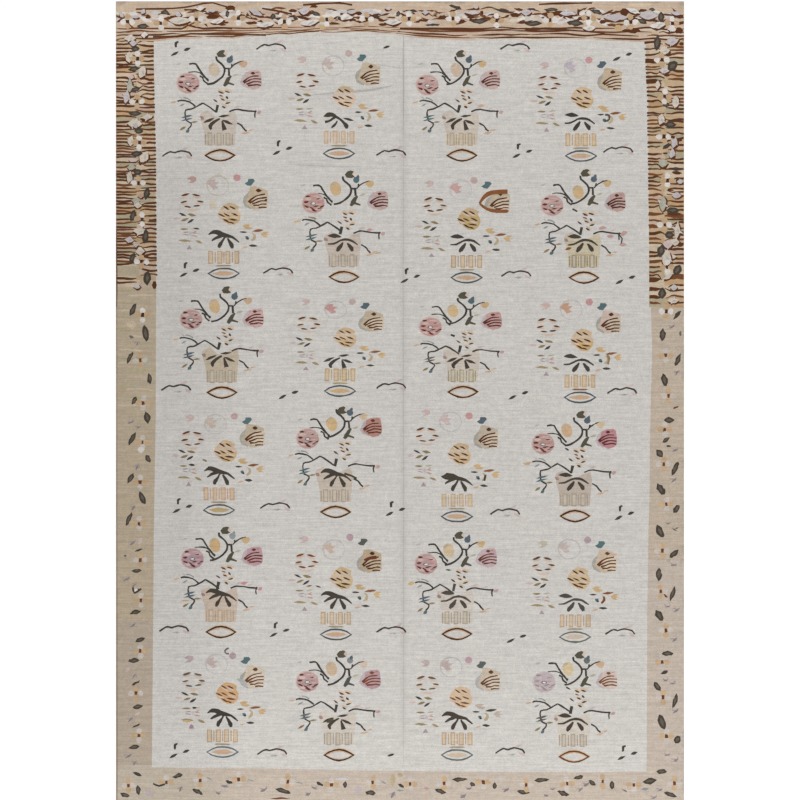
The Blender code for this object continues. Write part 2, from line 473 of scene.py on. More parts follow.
fruit = [
    ("shape", "fruitCap", (-9.6, -4), (-6, -8.6), (-0.6, -11.6), (5.4, -10.2), (10, -7.6), (8.8, -3.4)),
    ("shape", "fruitPale", (-11.4, 1), (-9.6, -4.6), (8.4, -5), (11.6, -0.4), (11.4, 4), (-9, 5)),
    ("shape", "fruit", (-10.6, 1.4), (-2, 0.6), (11.8, 1), (10.4, 6.4), (6.4, 10.4), (0, 10.6), (-5, 7.6)),
    ("leaf", "peachPale", -2.6, -4.6, 10, 2, -30),
    ("leaf", "peachPale", 4, -4.4, 9, 2, -28),
    ("leaf", "peachPale", -6.6, 3.2, 9, 2, -22),
    ("leaf", "peachPale", 5, 3, 10, 2, -16),
    ("leaf", "fruitDash", -3, -6.4, 7.6, 1.7, -33, 0, 2.2),
    ("leaf", "fruitDash", 3.4, -6.4, 7.6, 1.7, -28, 0, 2.2),
    ("leaf", "fruitDash", -7.8, 1, 8.6, 1.8, -24, 0, 2.2),
    ("leaf", "fruitDash", -2.4, 0.6, 8, 1.6, -25, 0, 2.2),
    ("leaf", "fruitDash", 5.4, 0.2, 8.6, 1.7, -22, 0, 2.2),
    ("leaf", "fruitDash", 4, 5.4, 10, 1.8, -8, 0, 2.2),
    ("leaf", "fruitDash", -2.4, 6.8, 8.6, 1.8, -30, 0, 2.2),
    ("leaf", "fruitDash", 2.6, 8.6, 6, 1.5, -20, 0, 2.2),
]
stripedHeart = [
    ("shape", "heartShade", (-14.4, 1), (-13, -4), (-8.6, -8), (-7, -12), (-4, 4), (-5.6, 9.4), (-12.6, 6)),
    ("shape", "heart", (-12, 3), (-9, -4), (-7, -13.6), (-2, -14), (3, -12.6), (10.6, -9.6), (11, -4), (10.4, 6),
     (6, 8.4), (-3, 9.6)),
    ("shape", "heartPale", (-9, 1), (-2, -4.6), (5, -7.6), (10.6, -7), (11, 6.4), (5.4, 8), (-1, 7)),
    ("line", "heartStripe", (2, 1.4, 1.2), (-8.6, 2), (-3.6, -2.8), (1.2, -5), (8, -6.2)),
    ("line", "heartStripe", (1.9, 1.3, 1.2), (-7.4, 2.8), (-2, -0.4), (3, -2.2), (10, -2.8)),
    ("line", "heartStripe", (1.8, 1.3, 1.2), (-5, 3.6), (0, 2), (4, 0.6), (10, 0.6)),
    ("line", "heartStripe", (1.8, 1.4, 1.2), (-3.6, 5), (1, 5), (4.6, 3.8), (9.6, 4)),
    ("line", "heartStripe", (1.6, 1.2), (1.4, 7.4), (5, 6.8), (9.6, 7.2)),
    ("leaf", "heartStripe", 1.4, -9.8, 5.4, 3.8, 0),
]
fruitYarns = {
    "footLine": "454B4D", "footFill": "peach", "footBar": "8F826A", "leaf": "leafDark", "rowMauve": "pink",
    "oliveLight": "8C7C5C", "peachTip": "peach", "paleFlower": "AB9C97", "fieldShade": "ABA6A2",
    "topPetal": "B09D99", "roundBud": "A5938F", "bud": "teal", "haloPeach": "peachPale",
    "ringDash": "533322", "fruitCap": "B39B7C", "fruitPale": "B8A48C", "fruit": "B49A76", "fruitDash": "brownDark",
    "heart": "A79A86", "heartShade": "949189", "heartPale": "B9AA96", "heartStripe": "4C2812",
    "pot": "A38C72", "potFill": "B8A68F",
}

# Each vase's foot, the form of its leaves, how tall it is woven, how far parts sit from their usual places
# there, and the yarns and marks of its own
vases = [
    {"kind": "twig", "foot": (220, 155.4), "form": "loose"},
    {"kind": "fruit", "foot": (339, 153.5), "form": "curved",
     "yarns": {"fruitPale": "C0AFA0", "fruitCap": "AF9B80", "fruit": "BDA78F", "pot": "B2967A", "potFill": "B9AA97"}},
    {"kind": "twig", "foot": (462, 155.4), "form": "loose",
     "moved": {"rose": (-2.7, 1.8), "heart": (-3.6, 0), "crown": (-3, 0)},
     "yarns": {"paleFlower": "B5A28F", "pot": "A08D6F", "goldBud": "gold", "cross": "teal"},
     "added": [("leaf", "peach", 19.2, -49.6, 7, 3, 0)]},
    {"kind": "fruit", "foot": (581, 156), "form": "spread",
     "moved": {"fruit": (-4, -1.7), "heart": (0, 3), "topPetal": (0.5, 3.4), "buds": (-2, 4.4)},
     "yarns": {"roundBud": "pinkStrong", "bud": "slate", "paleFlower": "A79DA4", "heart": "AA9A82", "leaf": "branch",
               "pot": "AC9068"},
     "added": [("line", "oliveDark", 2, (24, -41.4), (28, -40.6), (28.4, -36.6), (25, -34.8)),
               ("leaf", "gold", 19.6, -49.2, 7, 3, 8)]},
    {"kind": "fruit", "foot": (223.7, 273.5), "form": "joined",
     "moved": {"fruit": (0.5, -3), "heart": (3, 4), "topPetal": (5.4, 0), "buds": (3.5, 4.4)},
     "yarns": {"topPetal": "pink", "roundBud": "pinkStrong", "heart": "AA9A82", "fieldShade": "AEA698"},
     "added": [("leaf", "brownDark", 36.4, -82.8, 4, 2, 0), ("leaf", "brownDark", 42, -73.6, 4, 2, 30),
               ("leaf", "branch", -27.2, -44.9, 7, 1.8, -10), ("shape", "cream", (-15, -73), (-7, -74), (-7, -65),
                                                               (-14, -64))]},
    {"kind": "twig", "foot": (344, 277), "form": "spread",
     "moved": {"rose": (1.3, -1.8), "heart": (2.7, -0.9), "crown": (2.5, -1.7), "hook": (4.4, -1),
               "paleFlower": (-2.7, -2.8), "left": (0.7, -2.5)},
     "yarns": {"paleFlower": "B59B75", "bowl": "B0A499", "bud": "teal", "goldBud": "gold", "cross": "teal",
               "rose": "A9867F"},
     "added": [("leaf", "gold", -47.8, -55.4, 6, 2.4, 8), ("leaf", "olive", -30.8, -59, 8, 2, -10),
               ("leaf", "pinkStrong", 25.4, -47.3, 6, 2.6, 10), ("leaf", "gold", 33.5, -24, 8, 1.6, 10)]},
    {"kind": "fruit", "foot": (466.6, 277.6), "form": "spread",
     "moved": {"fruit": (-2.7, -2.1), "heart": (2, 3.5), "buds": (-2.4, 3), "left": (-0.4, 3.6)},
     "yarns": {"paleFlower": "B08F8A", "bud": "teal", "fruit": "AB9369", "fruitPale": "AB9369"},
     "added": [("line", "rust", (2.4, 4.4, 4.6), (13, -74), (18, -81), (25, -85), (41, -86)),
               ("line", "rust", (2.4, 3.4, 3.4), (13, -74), (20, -68.6), (30, -66.4), (41, -66.4))]},
    {"kind": "twig", "foot": (584, 277.6), "form": "spread",
     "moved": {"crown": (0, -3), "leftTwigs": (0, -1)},
     "yarns": {"paleFlower": "B59B75", "pot": "85785F", "bowl": "AEA48E", "goldBud": "gold", "berry": "maroon", "heart": "A68C84", "heartStripe": "43201A"},
     "added": [("leaf", "rust", -15.6, -29, 7, 3, 20), ("line", "branch", 1.6, (-11.6, -68.8), (-6.7, -66)),
               ("line", "khaki", 1.4, (-9, -22.6), (9, -22.8)), ("leaf", "pink", 18.6, -49.8, 8, 4, 0),
               ("leaf", "pink", 40, -44.6, 8, 4, 20), ("leaf", "pink", 39, -33, 8, 4, 0),
               ("leaf", "pink", 26.4, -41.2, 7, 4, 0), ("line", "branch", 1.4, (34, -44), (38, -39), (37, -34))]},
    {"kind": "twig", "foot": (222, 392.6), "form": "loose",
     "moved": {"rose": (0.9, -1.1), "heart": (0.1, 1.2), "crown": (1.8, 0), "hook": (3, -1), "buds": (2.6, -0.6),
               "paleFlower": (-1.7, -0.7), "rightBranch": (0.3, 2), "berry": (0.8, 0)},
     "yarns": {"paleFlower": "B59C78", "paleFlowerEdge": "B1A088", "bowl": "AC9F8C", "heart": "B0928E"}},
    {"kind": "fruit", "foot": (340, 391), "form": "loose", "tall": 0.9,
     "moved": {"ring": (0.4, -1.9), "fruit": (0, -2.6), "heart": (2, 1.5), "left": (0.3, 1), "sprays": (0.6, -0.6),
               "buds": (2.4, 1), "topPetal": (2.8, -4.6), "paleFlower": (1.5, -2)},
     "yarns": {"paleFlower": "AC8583", "pot": "A68D63", "footFill": "gold", "bud": "slate", "footBar": "9A8B62"}},
    {"kind": "twig", "foot": (463, 392), "form": "loose", "tall": 0.92,
     "moved": {"rose": (-0.6, 1.3), "heart": (-2.8, -1.6), "crown": (-1.5, -3), "paleFlower": (-4.2, -2.5),
               "left": (0, 2), "leftTwigs": (0, -1)},
     "yarns": {"paleFlower": "B89F7A", "pot": "8F876B", "rose": "AC8580", "heart": "A88682", "goldBud": "gold",
               "bud": "teal", "leaf": "3B332E", "cross": "565451"},
     "added": [("line", "branch", (2, 2.6), (-12.4, -62.2), (-8.2, -60.6))]},
    {"kind": "fruit", "foot": (580, 397.4), "form": "spread",
     "moved": {"ring": (0, 1), "fruit": (-2.9, -0.9), "heart": (-0.5, 4), "buds": (-0.5, 4.8), "left": (0.6, 2.7),
               "sprays": (-3, -1), "topPetal": (2.5, 2.4), "paleFlower": (-3, 0)},
     "yarns": {"paleFlower": "B08C76", "topPetal": "B39D94", "roundBud": "pinkStrong", "footBar": "7A5433",
               "pot": "AA906A", "heart": "B09E93", "fruit": "B59669"},
     "added": [("line", "olive", (2, 2.6, 2), (27, -42.4), (29, -39.4), (28, -33))]},
    {"kind": "fruit", "foot": (219, 510), "form": "joined",
     "moved": {"ring": (5.4, 1.5), "fruit": (1.3, -2.3), "heart": (4.3, 5.1), "buds": (5.5, 6.4), "topPetal": (8, 1.9),
               "left": (4, 0.3), "sprays": (0, -2), "paleFlower": (2.4, 2)},
     "yarns": {"footFill": "A8946C", "paleFlower": "AFA094", "pot": "B08E72", "roundBud": "A88F8E"},
     "added": [("leaf", "branch", -27.3, -45.2, 7, 2.4, -4), ("leaf", "olive", -14.3, -49.7, 6, 2.4, -25)]},
    {"kind": "twig", "foot": (335.6, 512), "form": "joined",
     "moved": {"rose": (4, -1.3), "heart": (4.5, -9.3), "crown": (4.5, -4), "hook": (4.8, 0), "leftTwigs": (5.5, -1),
               "paleFlower": (1.8, -2.3), "left": (2, -3.5), "rightBranch": (3, -2), "lowTwig": (1, -1),
               "berry": (4.7, -4.7), "stub": (3.2, -3)},
     "yarns": {"paleFlower": "B59A72", "heart": "A1796F", "heartStripe": "542A1C", "cross": "teal", "bud": "slate",
               "goldBud": "goldPale", "bowl": "B0A497"},
     "added": [("line", "leaf", 2, (9, -38.4), (16, -36.2), (21, -33.4))]},
    {"kind": "fruit", "foot": (457, 516.5), "form": "joined",
     "moved": {"ring": (1.8, -8.8), "fruit": (-2.6, -6.1), "buds": (2.4, -0.5), "topPetal": (6, -10), "left": (1, -6),
               "sprays": (-2.5, -3), "paleFlower": (-0.6, -7)},
     "yarns": {"bud": "slate", "pot": "AB967A", "roundBud": "pinkStrong", "paleFlower": "AF9F9B", "heart": "A69A8A"},
     "added": [("leaf", "leaf", -9, -39.6, 15, 6, -2), ("line", "branch", 2, (28.4, -41.6), (27.4, -35.6))]},
    {"kind": "twig", "foot": (575, 516), "form": "spread",
     "moved": {"heart": (0.3, -1.7), "crown": (2.6, 0.4), "hook": (4.6, 0.3), "buds": (2.4, 0), "paleFlower": (-2.4, 0),
               "leftTwigs": (3, 1), "berry": (0.1, -1.6)},
     "yarns": {"paleFlower": "B7997A", "rose": "A4827C", "heart": "A7787D", "goldBud": "goldPale", "cross": "teal", "bowl": "ADA095"},
     "added": [("leaf", "branch", -8.2, -66.9, 5.4, 1.8, -28), ("leaf", "gold", -48.4, -52.1, 8, 2.8, 0)]},
    {"kind": "twig", "foot": (221, 632), "form": "joined",
     "moved": {"rose": (3.3, -1.3), "crown": (1.6, -0.6), "hook": (3, 0), "paleFlower": (-0.3, -1.4),
               "leftTwigs": (5.5, -1.5), "left": (2, 0), "berry": (1.5, -0.6)},
     "yarns": {"paleFlower": "B89B72", "rose": "A1838A", "heart": "A5868A", "heartStripe": "5A2E22", "bud": "slatePale",
               "budTip": "slatePale", "pink": "B07F83", "goldBud": "gold", "bowl": "B1A294", "pot": "A58C74"},
     "added": [("leaf", "gold", -36, -31.2, 9, 1.8, 5), ("leaf", "B07F83", 23, -48.8, 8, 3.4, 8)]},
    {"kind": "fruit", "foot": (336, 634.5), "form": "joined",
     "moved": {"ring": (2.3, -0.6), "fruit": (0.5, 0.4), "heart": (4.4, 6), "buds": (4.2, 3), "topPetal": (5, -1.3),
               "left": (3, 0.5), "sprays": (0, -0.8), "paleFlower": (3.8, 3)},
     "yarns": {"roundBud": "9E858C", "bud": "50504E", "heart": "A29078", "fruit": "B29C78", "fruitCap": "B29C78",
               "heartStripe": "45240F", "ringDash": "6A3A22", "paleFlower": "B3A294", "heartPale": "AC9A82"},
     "added": [("line", "5C2F1C", (2, 3.4, 3.4), (28, -74.4), (34, -76.4), (40.6, -77.4)),
               ("leaf", "rust", -26.7, -48.6, 6.5, 1.6, 8), ("leaf", "branch", -17.8, -47.9, 6, 1.6, -18)]},
    {"kind": "twig", "foot": (457, 634), "form": "spread",
     "moved": {"rose": (0.9, 2.1), "heart": (-1.7, -0.6), "crown": (0.4, 2), "hook": (0.8, 3), "buds": (0.6, 1.2),
               "paleFlower": (-2.6, 2), "leftTwigs": (2.4, 2), "left": (0.6, 2.8), "berry": (0.4, 1.2)},
     "yarns": {"paleFlower": "B7A486", "rose": "A58684", "heart": "AB9496", "goldBud": "gold", "leaf": "48403A",
               "heartStripe": "5A3423"},
     "added": [("leaf", "gold", -45.5, -50.6, 8, 3.6, 12), ("leaf", "branch", -8.4, -64, 6, 1.8, -8)]},
    {"kind": "fruit", "foot": (575, 637), "form": "spread",
     "moved": {"fruit": (-1.5, -2.1), "heart": (0.6, 3.5), "buds": (2.8, 3.2), "topPetal": (5, 0.7), "left": (1.2, 1.2),
               "sprays": (-1.5, -1)},
     "yarns": {"fruit": "B59D7E", "fruitCap": "B59D7E", "fruitPale": "B8A384", "heart": "B2A18D", "leaf": "45403D",
               "ringDash": "4E3A2C", "paleFlower": "B0A39E", "roundBud": "9C898F", "topPetal": "A69F8E",
               "footFill": "B4A595", "footLine": "555A54", "heartPale": "BFB09C", "heartStripe": "583418"},
     "added": [("line", "brownLight", (1.6, 2.4, 2), (28.6, -40.6), (29, -37), (26.4, -33.6))]},
    {"kind": "fruit", "foot": (222.4, 752), "form": "joined",
     "moved": {"ring": (2.8, 0.7), "fruit": (-0.3, -2.2), "heart": (0.9, 4.4), "buds": (0.5, 4), "topPetal": (3.7, 0.7),
               "left": (3.6, 0.8), "sprays": (-1.5, -1.5)},
     "yarns": {"roundBud": "97858A", "fruit": "B8946F", "fruitCap": "B8946F", "fruitPale": "B8946F", "leaf": "branch",
               "topPetal": "A39394", "ringDash": "5A5147", "heart": "B3A795", "fruitDash": "5A3A22",
               "footLine": "555E62", "heartPale": "C0B3A4", "heartStripe": "5E3A22"},
     "added": [("line", "greyDark", 1.6, (6.4, -104), (2.6, -101.6), (3.4, -98.8), (6.6, -98.2)),
               ("line", "9A9C9C", (2, 4, 3), (14.6, -73.4), (19.6, -70.6), (24.6, -65.4)),
               ("leaf", "gold", -35.6, -30.8, 9.4, 2.4, 0), ("leaf", "branch", -28, -44.2, 5, 2.2, 0),
               ("leaf", "95717F", -31, -25.6, 5, 4, 20), ("leaf", "gold", 39.4, -41.1, 7, 4, 0)]},
    {"kind": "twig", "foot": (339, 755), "form": "loose",
     "moved": {"rose": (0.2, -1.3), "crown": (1.2, 0.8), "paleFlower": (-1.6, -0.5), "leftTwigs": (1.4, -1.4),
               "left": (-0.5, -1.3), "berry": (1.4, 1.6)},
     "yarns": {"paleFlower": "B7A187", "rose": "A48786", "heart": "A5888B", "heartStripe": "6B3A22",
               "cross": "586060", "bud": "727876", "boot": "484844", "goldBud": "peachPale"},
     "added": [("leaf", "oliveDark", -8.7, -34.3, 9, 3.4, 30), ("leaf", "7E5136", -38, -28, 8, 1.8, 25)]},
    {"kind": "fruit", "foot": (457, 755), "form": "joined",
     "moved": {"ring": (2.2, 1.3), "fruit": (-1.3, -1.1), "heart": (2.2, 4), "buds": (1.8, 5.3), "topPetal": (5.4, 2),
               "left": (3, 2), "sprays": (-0.5, -1.8)},
     "yarns": {"fruit": "BCA287", "fruitCap": "BCA287", "fruitPale": "BCA287", "fruitDash": "5A4028",
               "roundBud": "A58A90", "bud": "505652", "topPetal": "A59894", "ringDash": "5A4C3E", "heartShade": "9E9B9A",
               "footLine": "5A5F5F", "footFill": "B5A48F", "gold": "A89A90", "rust": "branch", "heart": "B2A493", "heartPale": "BDB0A0", "heartStripe": "58361F"}},
    {"kind": "twig", "foot": (574, 756.6), "form": "spread",
     "moved": {"rose": (2.1, -2.4), "heart": (1.7, -1.1), "crown": (3, -0.7), "hook": (4.3, 0), "paleFlower": (0, -2),
               "leftTwigs": (5.4, -1.7), "left": (1, -0.5), "berry": (2.1, -2.2)},
     "yarns": {"rose": "A5979A", "rosePale": "AEA3A2", "roseDash": "8A7A78", "roseDashSoft": "938586",
               "roseRing": "greyDark", "heart": "B9A8A0", "heartStripe": "6B4426", "paleFlower": "B6A585",
               "cross": "4E4E4B", "bud": "5E6462", "footLine": "5A3A1E"},
     "added": [("leaf", "branch", -6, -68.4, 6.4, 1.8, -32)]},
]
pot = {
    "top": -22.6, "bottom": -9.8, "window": 4.9, "line": 1.0,
    "twig": {"windows": (-10.0, -1.0, 8.0), "bars": (-14.4, -5.6, 3.3, 12.3)},
    "fruit": {"windows": (-13.0, -4.0, 4.2, 13.0), "bars": (-8.5, 0.2, 8.7)},
}
sides = {"upperBranch": "crown", "hook": "crown", "buds": "crown", "boot": "crown", "leftBranch": "left",
         "crossTip": "left", "tips": "left", "petals": "left", "lowLeft": "left"}


# Ladder pot: upright windows with a thin frame, and a bar between each two
def weavePot(x, y, kind, yarns_):
    top, bottom, rim, side = y + pot["top"], y + pot["bottom"], pot["line"], pot["window"] / 2
    for place in pot[kind]["windows"]:
        weave(yarns_["pot"], box(x + place - side, top, x + place + side, bottom), hand=0.2)
        weave(yarns_["potFill"], box(x + place - side + rim, top + rim, x + place + side - rim, bottom - rim),
              hand=0.1)
    for place in pot[kind]["bars"]:
        weave(yarns_["pot"], box(x + place - rim * 0.6, top + 1, x + place + rim * 0.6, bottom - 1), hand=0.1)


# Weaves one vase. Heights over the foot are taken times its own share of the usual height.
def weaveVase(vase):
    x, y = vase["foot"]
    kind, tall, moved = vase["kind"], vase.get("tall", 1.0), vase.get("moved", {})
    isTwig = kind == "twig"
    parts = dict(twigVase if isTwig else fruitVase, leaves=leafForms[vase["form"]])
    flowers = ({"rose": (rose, -32.1, -72.3), "heart": (heart, 32.6, -75)} if isTwig else
               {"ring": (ring, -31.7, -73.2), "fruit": (fruit, 4.9, -56.3), "heart": (stripedHeart, 30.4, -77.2)})
    colours = {**(twigYarns if isTwig else fruitYarns), **vase.get("yarns", {})}
    if y > 480 and isTwig:  # the pots of the lower rows have faded more
        colours = {"potFill": "B5ACA0", **colours, **({} if "bowl" in vase.get("yarns", {}) else {"bowl": "B9B1A7"})}
    for part in ("foot", "bar", "bowl"):
        weaveRows(parts.pop(part, []), x, y, colours)
    weavePot(x, y, kind, colours)

    rows = []
    for part, group in parts.items():
        right, down = moved.get(part, moved.get(sides.get(part), (0, 0)))
        rows += [(row, right, down, (0, 0)) for row in group]
    for part, (group, across, up) in flowers.items():
        right, down = moved.get(part, (0, 0))
        rows += [(row, right, down, (across, up)) for row in group]
    rows += [(row, 0, 0, (0, 0)) for row in vase.get("added", [])]
    for (kind, yarn, *sizes), right, down, (across, up) in rows:
        outline = outlines[kind](*sizes) + (across, up)
        weave(colours.get(yarn, yarn), outline * (1, tall) + (x + right, y + down))


# Small twigs between the vases, in three forms
sprigs = {
    "arch": [(271, 45), (515, 45), (177, 152), (391, 151), (618, 148), (278, 269), (516, 272), (176, 386),
             (391, 384), (622, 389), (275, 504), (505, 510), (174, 627), (391, 628), (620, 630), (272, 750),
             (510, 749)],
    "three": [(178, 48), (280, 147), (520, 150), (187, 269), (408, 275), (180, 505), (393, 508), (622, 512),
              (277, 629), (177, 750), (625, 752)],
    "two": [(620, 53), (623, 276), (286, 391), (516, 391.5), (514, 635)],
    "one": [(386.5, 47), (391, 755)],
}
archTwig = [
    ("leaf", "pinkPale", 8, -4.5, 9, 2.4, 20),
    ("leaf", "pinkPale", 12, 3.5, 8, 3, -30),
    ("leaf", "greyPale", 2, 4, 9, 2, 5),
    ("leaf", "8A8583", 3, 4.4, 4, 1.1, 10),
    ("line", "charcoal", 1.7, (-14.7, 2.9), (-10.4, 0), (-6.3, -1.9), (-2.2, -0.9), (4, -2.6), (12, -0.9),
     (14.7, 2.9)),
]
threeLeaves = [
    ("line", "charcoal", (1.4, 2.8, 2), (0.6, -6.2), (-1.9, -5), (-2, -0.6)),
    ("leaf", "charcoal", 9, 1.2, 7.6, 3.2, 18),
    ("leaf", "charcoal", -3.4, 5.8, 9.6, 2.9, 28),
]


def weaveSprigs():
    for x, y in sprigs["arch"]:
        weaveRows(archTwig, x, y + 1.5)
    for x, y in sprigs["three"]:
        weaveRows(threeLeaves, x, y)
    for x, y in sprigs["two"]:
        weaveRows(threeLeaves[1:], x, y)
    for x, y in sprigs["one"]:
        weave("charcoal", leaf(x, y, 8, 2.6, 18))


# Side borders, upper third: brown stripes from both edges to the chain of flowers, tapered to points, with
# tans of many dyes between them. Rows are the stripes' places down the rug.

stripes = {
    "leftOuter": {"side": None, "from": 116.0, "to": 136.0, "rows": [
        40.3, 44, 48.4, 52.1, 55.2, 58.4, 61.1, 64.1, 67.3, 72.2, 77.9, 81.4, 85.7, 88.8, 91.4, 97.1, 100.3, 103.2,
        106, 111.2, 116.1, 122.6, 126, 129.5, 132.6, 135.8, 138.9, 142.1, 145.8, 148.7, 151.6, 154.7, 157.3, 162.2,
        167.4, 171.4, 174.2, 176.5, 180.3, 184.3, 188.3, 191.8, 194.9, 197.8, 201.2, 204.1, 207.3, 211.1, 213.8,
        219.5, 223.4, 227, 229.7, 233, 236, 238.7, 241.7, 245, 248, 252.2, 254.9, 257.6, 260.9, 264.5, 278.2, 282.4]},
    "leftInner": {"side": "fieldLeft", "from": 154.0, "to": 140.5, "rows": [
        40.9, 46.1, 50.4, 53.2, 56.1, 60.7, 64.7, 69.6, 74.2, 79.6, 83.4, 87, 90.5, 94.6, 98.3, 104.6, 107.2, 111.8,
        122.5, 125.2, 129.2, 134.9, 138.9, 143, 147.6, 150.7, 154.7, 158.7, 162.5, 165.3, 169.4, 172, 175.4, 179.4,
        184.3, 187.5, 190.6, 197.5, 202.7, 206.7, 210.2, 215.6, 219.5, 221.6, 224.3, 229.4, 233.6, 237.5, 242,
        246.8, 250.7, 254.3, 257.9, 260.3, 265.4, 270.4, 275]},
    "rightInner": {"side": "fieldRight", "from": 649.0, "to": 660.5, "rows": [
        42.3, 49, 55, 61, 66.7, 69.3, 73.3, 76.8, 81.6, 87.7, 91.4, 95.4, 100.9, 106.9, 113.2, 115.8, 120.6, 124,
        128, 131.2, 134.9, 142.7, 147, 153.9, 158.5, 161.3, 164.5, 169.1, 174, 178, 181.1, 185.4, 188.9, 195.2,
        199.2, 202.7, 207.2, 213.6, 220.3, 226.6, 233.5, 238.8, 243.1, 252.1, 256.4, 261.7, 267, 272, 275.3, 279.6,
        288.9, 296.8, 302.2]},
    "rightOuter": {"side": None, "from": 684.0, "to": 668.5, "rows": [
        36.3, 39.7, 47.4, 50, 53.2, 58.1, 64.4, 71.6, 75.6, 79.9, 86.8, 90.5, 95.1, 98.6, 102.3, 105.5, 108.9, 112.6,
        119.5, 122, 127.5, 134, 137.8, 145.3, 150.8, 158.7, 162.8, 168.8, 178.6, 183.7, 188.9, 192, 195.8, 201.5,
        206.1, 210, 216, 219.4, 222.3, 228.2, 232.2, 235.2, 239.2, 243.8, 249.1, 254.4, 258.4, 263.4, 277, 285.2,
        289.9, 297, 302.4]},
}
stripeTans = ["stripeTan", "stripePale", "stripeRose", "stripeTan", "stripePale", "stripeOchre", "stripeGreen"]
broadStripes = {42.3: 3.4, 61: 4.6, 81.6: 4.6, 213.6: 4, 226.6: 4.4, 233.5: 3.3, 261.7: 3.3, 279.6: 5, 288.9: 4,
                296.8: 3.3, 79.9: 3, 216: 3.8, 277: 5.4}
brownMarks = [  # loose bits of brown between the stripes: x, y, length, width, turn
    (141.3, 35.2, 3, 2.6, 0), (121, 67, 9, 3, 0), (150, 83, 7, 2.6, 0), (131, 97, 7, 2.4, 0),
    (140.4, 162.5, 6, 4, 90), (137.6, 206.4, 9, 1.8, 0), (138, 248.8, 8, 1.8, 0), (154.4, 285, 5, 8, 0),
    (682, 43.8, 6, 3.4, 0), (668.5, 55, 8, 3, 0), (679.6, 30.3, 6, 3, 0), (669.9, 32.9, 6, 2.4, 0),
    (667, 75.6, 7, 1.8, 0), (658.5, 81.4, 9, 2, -38), (672.7, 136.7, 5, 2.4, 0), (668.7, 140.7, 5, 2, 20),
    (679.6, 140.6, 6, 2, 0), (665.3, 153.3, 6, 2, 0), (676.7, 172.8, 11, 3.4, -6), (677.9, 181.4, 7, 4, 90),
    (670.4, 190.1, 8, 1.8, 0), (674, 214, 16, 3.4, 0), (674.4, 226.4, 6, 2, 0), (680, 245.4, 7, 3, 0),
]


def weaveStripes():
    for s in stripes.values():
        start, end, rows = s["from"], s["to"], np.array(s["rows"])
        inward = np.sign(end - start)
        edges = np.concatenate([[35], rows, [rows[-1] + 5]])
        for upper, lower in zip(edges[:-1], edges[1:]):
            tan = stripeTans[rng.integers(len(stripeTans))]
            weave(tan, box(min(start, end + 4 * inward), upper, max(start, end + 4 * inward), lower))
        for row in rows:
            thick = broadStripes.get(row, rng.uniform(1.8, 2.5))
            if s["side"]:
                edgeX, edgeY = np.array(sorted(ground[s["side"]], key=lambda place: place[1])).T
                start = np.interp(row, edgeY, edgeX) - 0.8 * inward
            span = end + rng.uniform(0, 5) * inward - start
            sway = rng.normal(0, 0.8, 3)
            weave("brown" if rng.random() < 0.7 else "brownLight",
                  line((thick, thick * rng.uniform(0.7, 1.1), 0.8), (start, row),
                       (start + span * 0.35, row + sway[0] * 0.5), (start + span * 0.7, row + sway[1]),
                       (start + span, row + sway[2] * 1.6)))
    weave("A0947D", box(114, 266.4, 139, 276.4))
    for x, y, length, width, turn in brownMarks:
        weave("brown", leaf(x, y, length, width, turn, 0, 3))


# Upper border: brown lines over and under the chain, and short bands of brown

topLines = [  # thickness, then the line's places
    (1.6, (136, 8.9), (163.6, 8.9), (181.4, 7.6), (193, 5.8), (203.8, 3.4), (212.7, 3.1), (221.6, 5.4), (235, 9.8)),
    (1.6, (184, 9.4), (196, 10.6), (206.4, 11.6)),
    (1.7, (262, 8.5), (276, 10.6), (292, 14)),
    (1.7, (303, 4.8), (322, 3.6), (339, 3), (352, 5)),
    (1.7, (539, 4.2), (565, 3.4), (592, 3)),
    (1.8, (161.8, 28.6), (181.4, 29), (187.7, 25.4), (202.9, 28.6), (217, 27.7), (232, 28.6)),
    (1.7, (152.9, 36.6), (177, 36.6), (190.4, 33.9), (230, 34.5), (266, 35)),
    (1.6, (400, 28.5), (440, 29), (484.8, 30.3), (521, 28.5), (560, 29.5), (604.6, 33.4)),
]
topBands = [  # x, y, length, width, yarn
    (212.7, 17, 13, 4, "brown"), (230.5, 8, 11, 5, "brown"), (251.8, 23, 13, 3, "brown"), (293, 10.9, 9, 3, "brown"),
    (313.6, 6.7, 9, 3, "brown"), (358.4, 13.3, 8, 4, "brown"), (442.4, 17, 8, 3, "brown"), (471.5, 17, 9, 3, "brown"),
    (461.8, 21.2, 8, 3, "brown"), (481.8, 12.7, 4, 4, "brown"), (515, 15.1, 11, 4, "brown"),
    (533, 28.8, 20, 2.5, "brown"), (578.3, 12.5, 3, 7, "brown"), (624.3, 12.5, 8, 8, "brown"),
    (643, 10.3, 9, 3, "brown"), (631.4, 30.8, 20, 4, "brown"), (678.8, 30.4, 9, 6, "brown"),
    (148, 17.4, 7, 3, "brown"), (172, 17.6, 6, 3, "brown"), (222, 24.6, 9, 2.4, "brown"), (300, 17, 6, 2.6, "brown"),
    (383, 24.6, 9, 2.6, "brown"), (424, 20.6, 8, 2.6, "brown"), (545, 14.6, 8, 3, "brown"), (603, 22, 8, 3, "brown"),
    (323.3, 26.7, 10, 4, "gold"), (618, 28.1, 8, 6, "gold"), (185.9, 26.8, 8, 5, "gold"),
    (120, 10, 10, 5, "stripePale"), (262, 5, 22, 3, "stripePale"), (420, 4.6, 30, 3, "stripePale"),
    (500, 5.4, 22, 3, "stripePale"), (640, 4.6, 26, 3, "stripePale"),
]


topStreaks = ["brown", "lavenderPale", "brown", "white", "brownLight", "stripeRose", "brown", "cream"]
topRows = {"count": 4, "above": 26.5, "edge": [(114, 41), (152, 39.5), (239, 37), (290, 34), (341, 31.4), (372, 32),
                                               (400, 35), (455, 39.6), (566, 39), (645, 41), (690, 41)]}


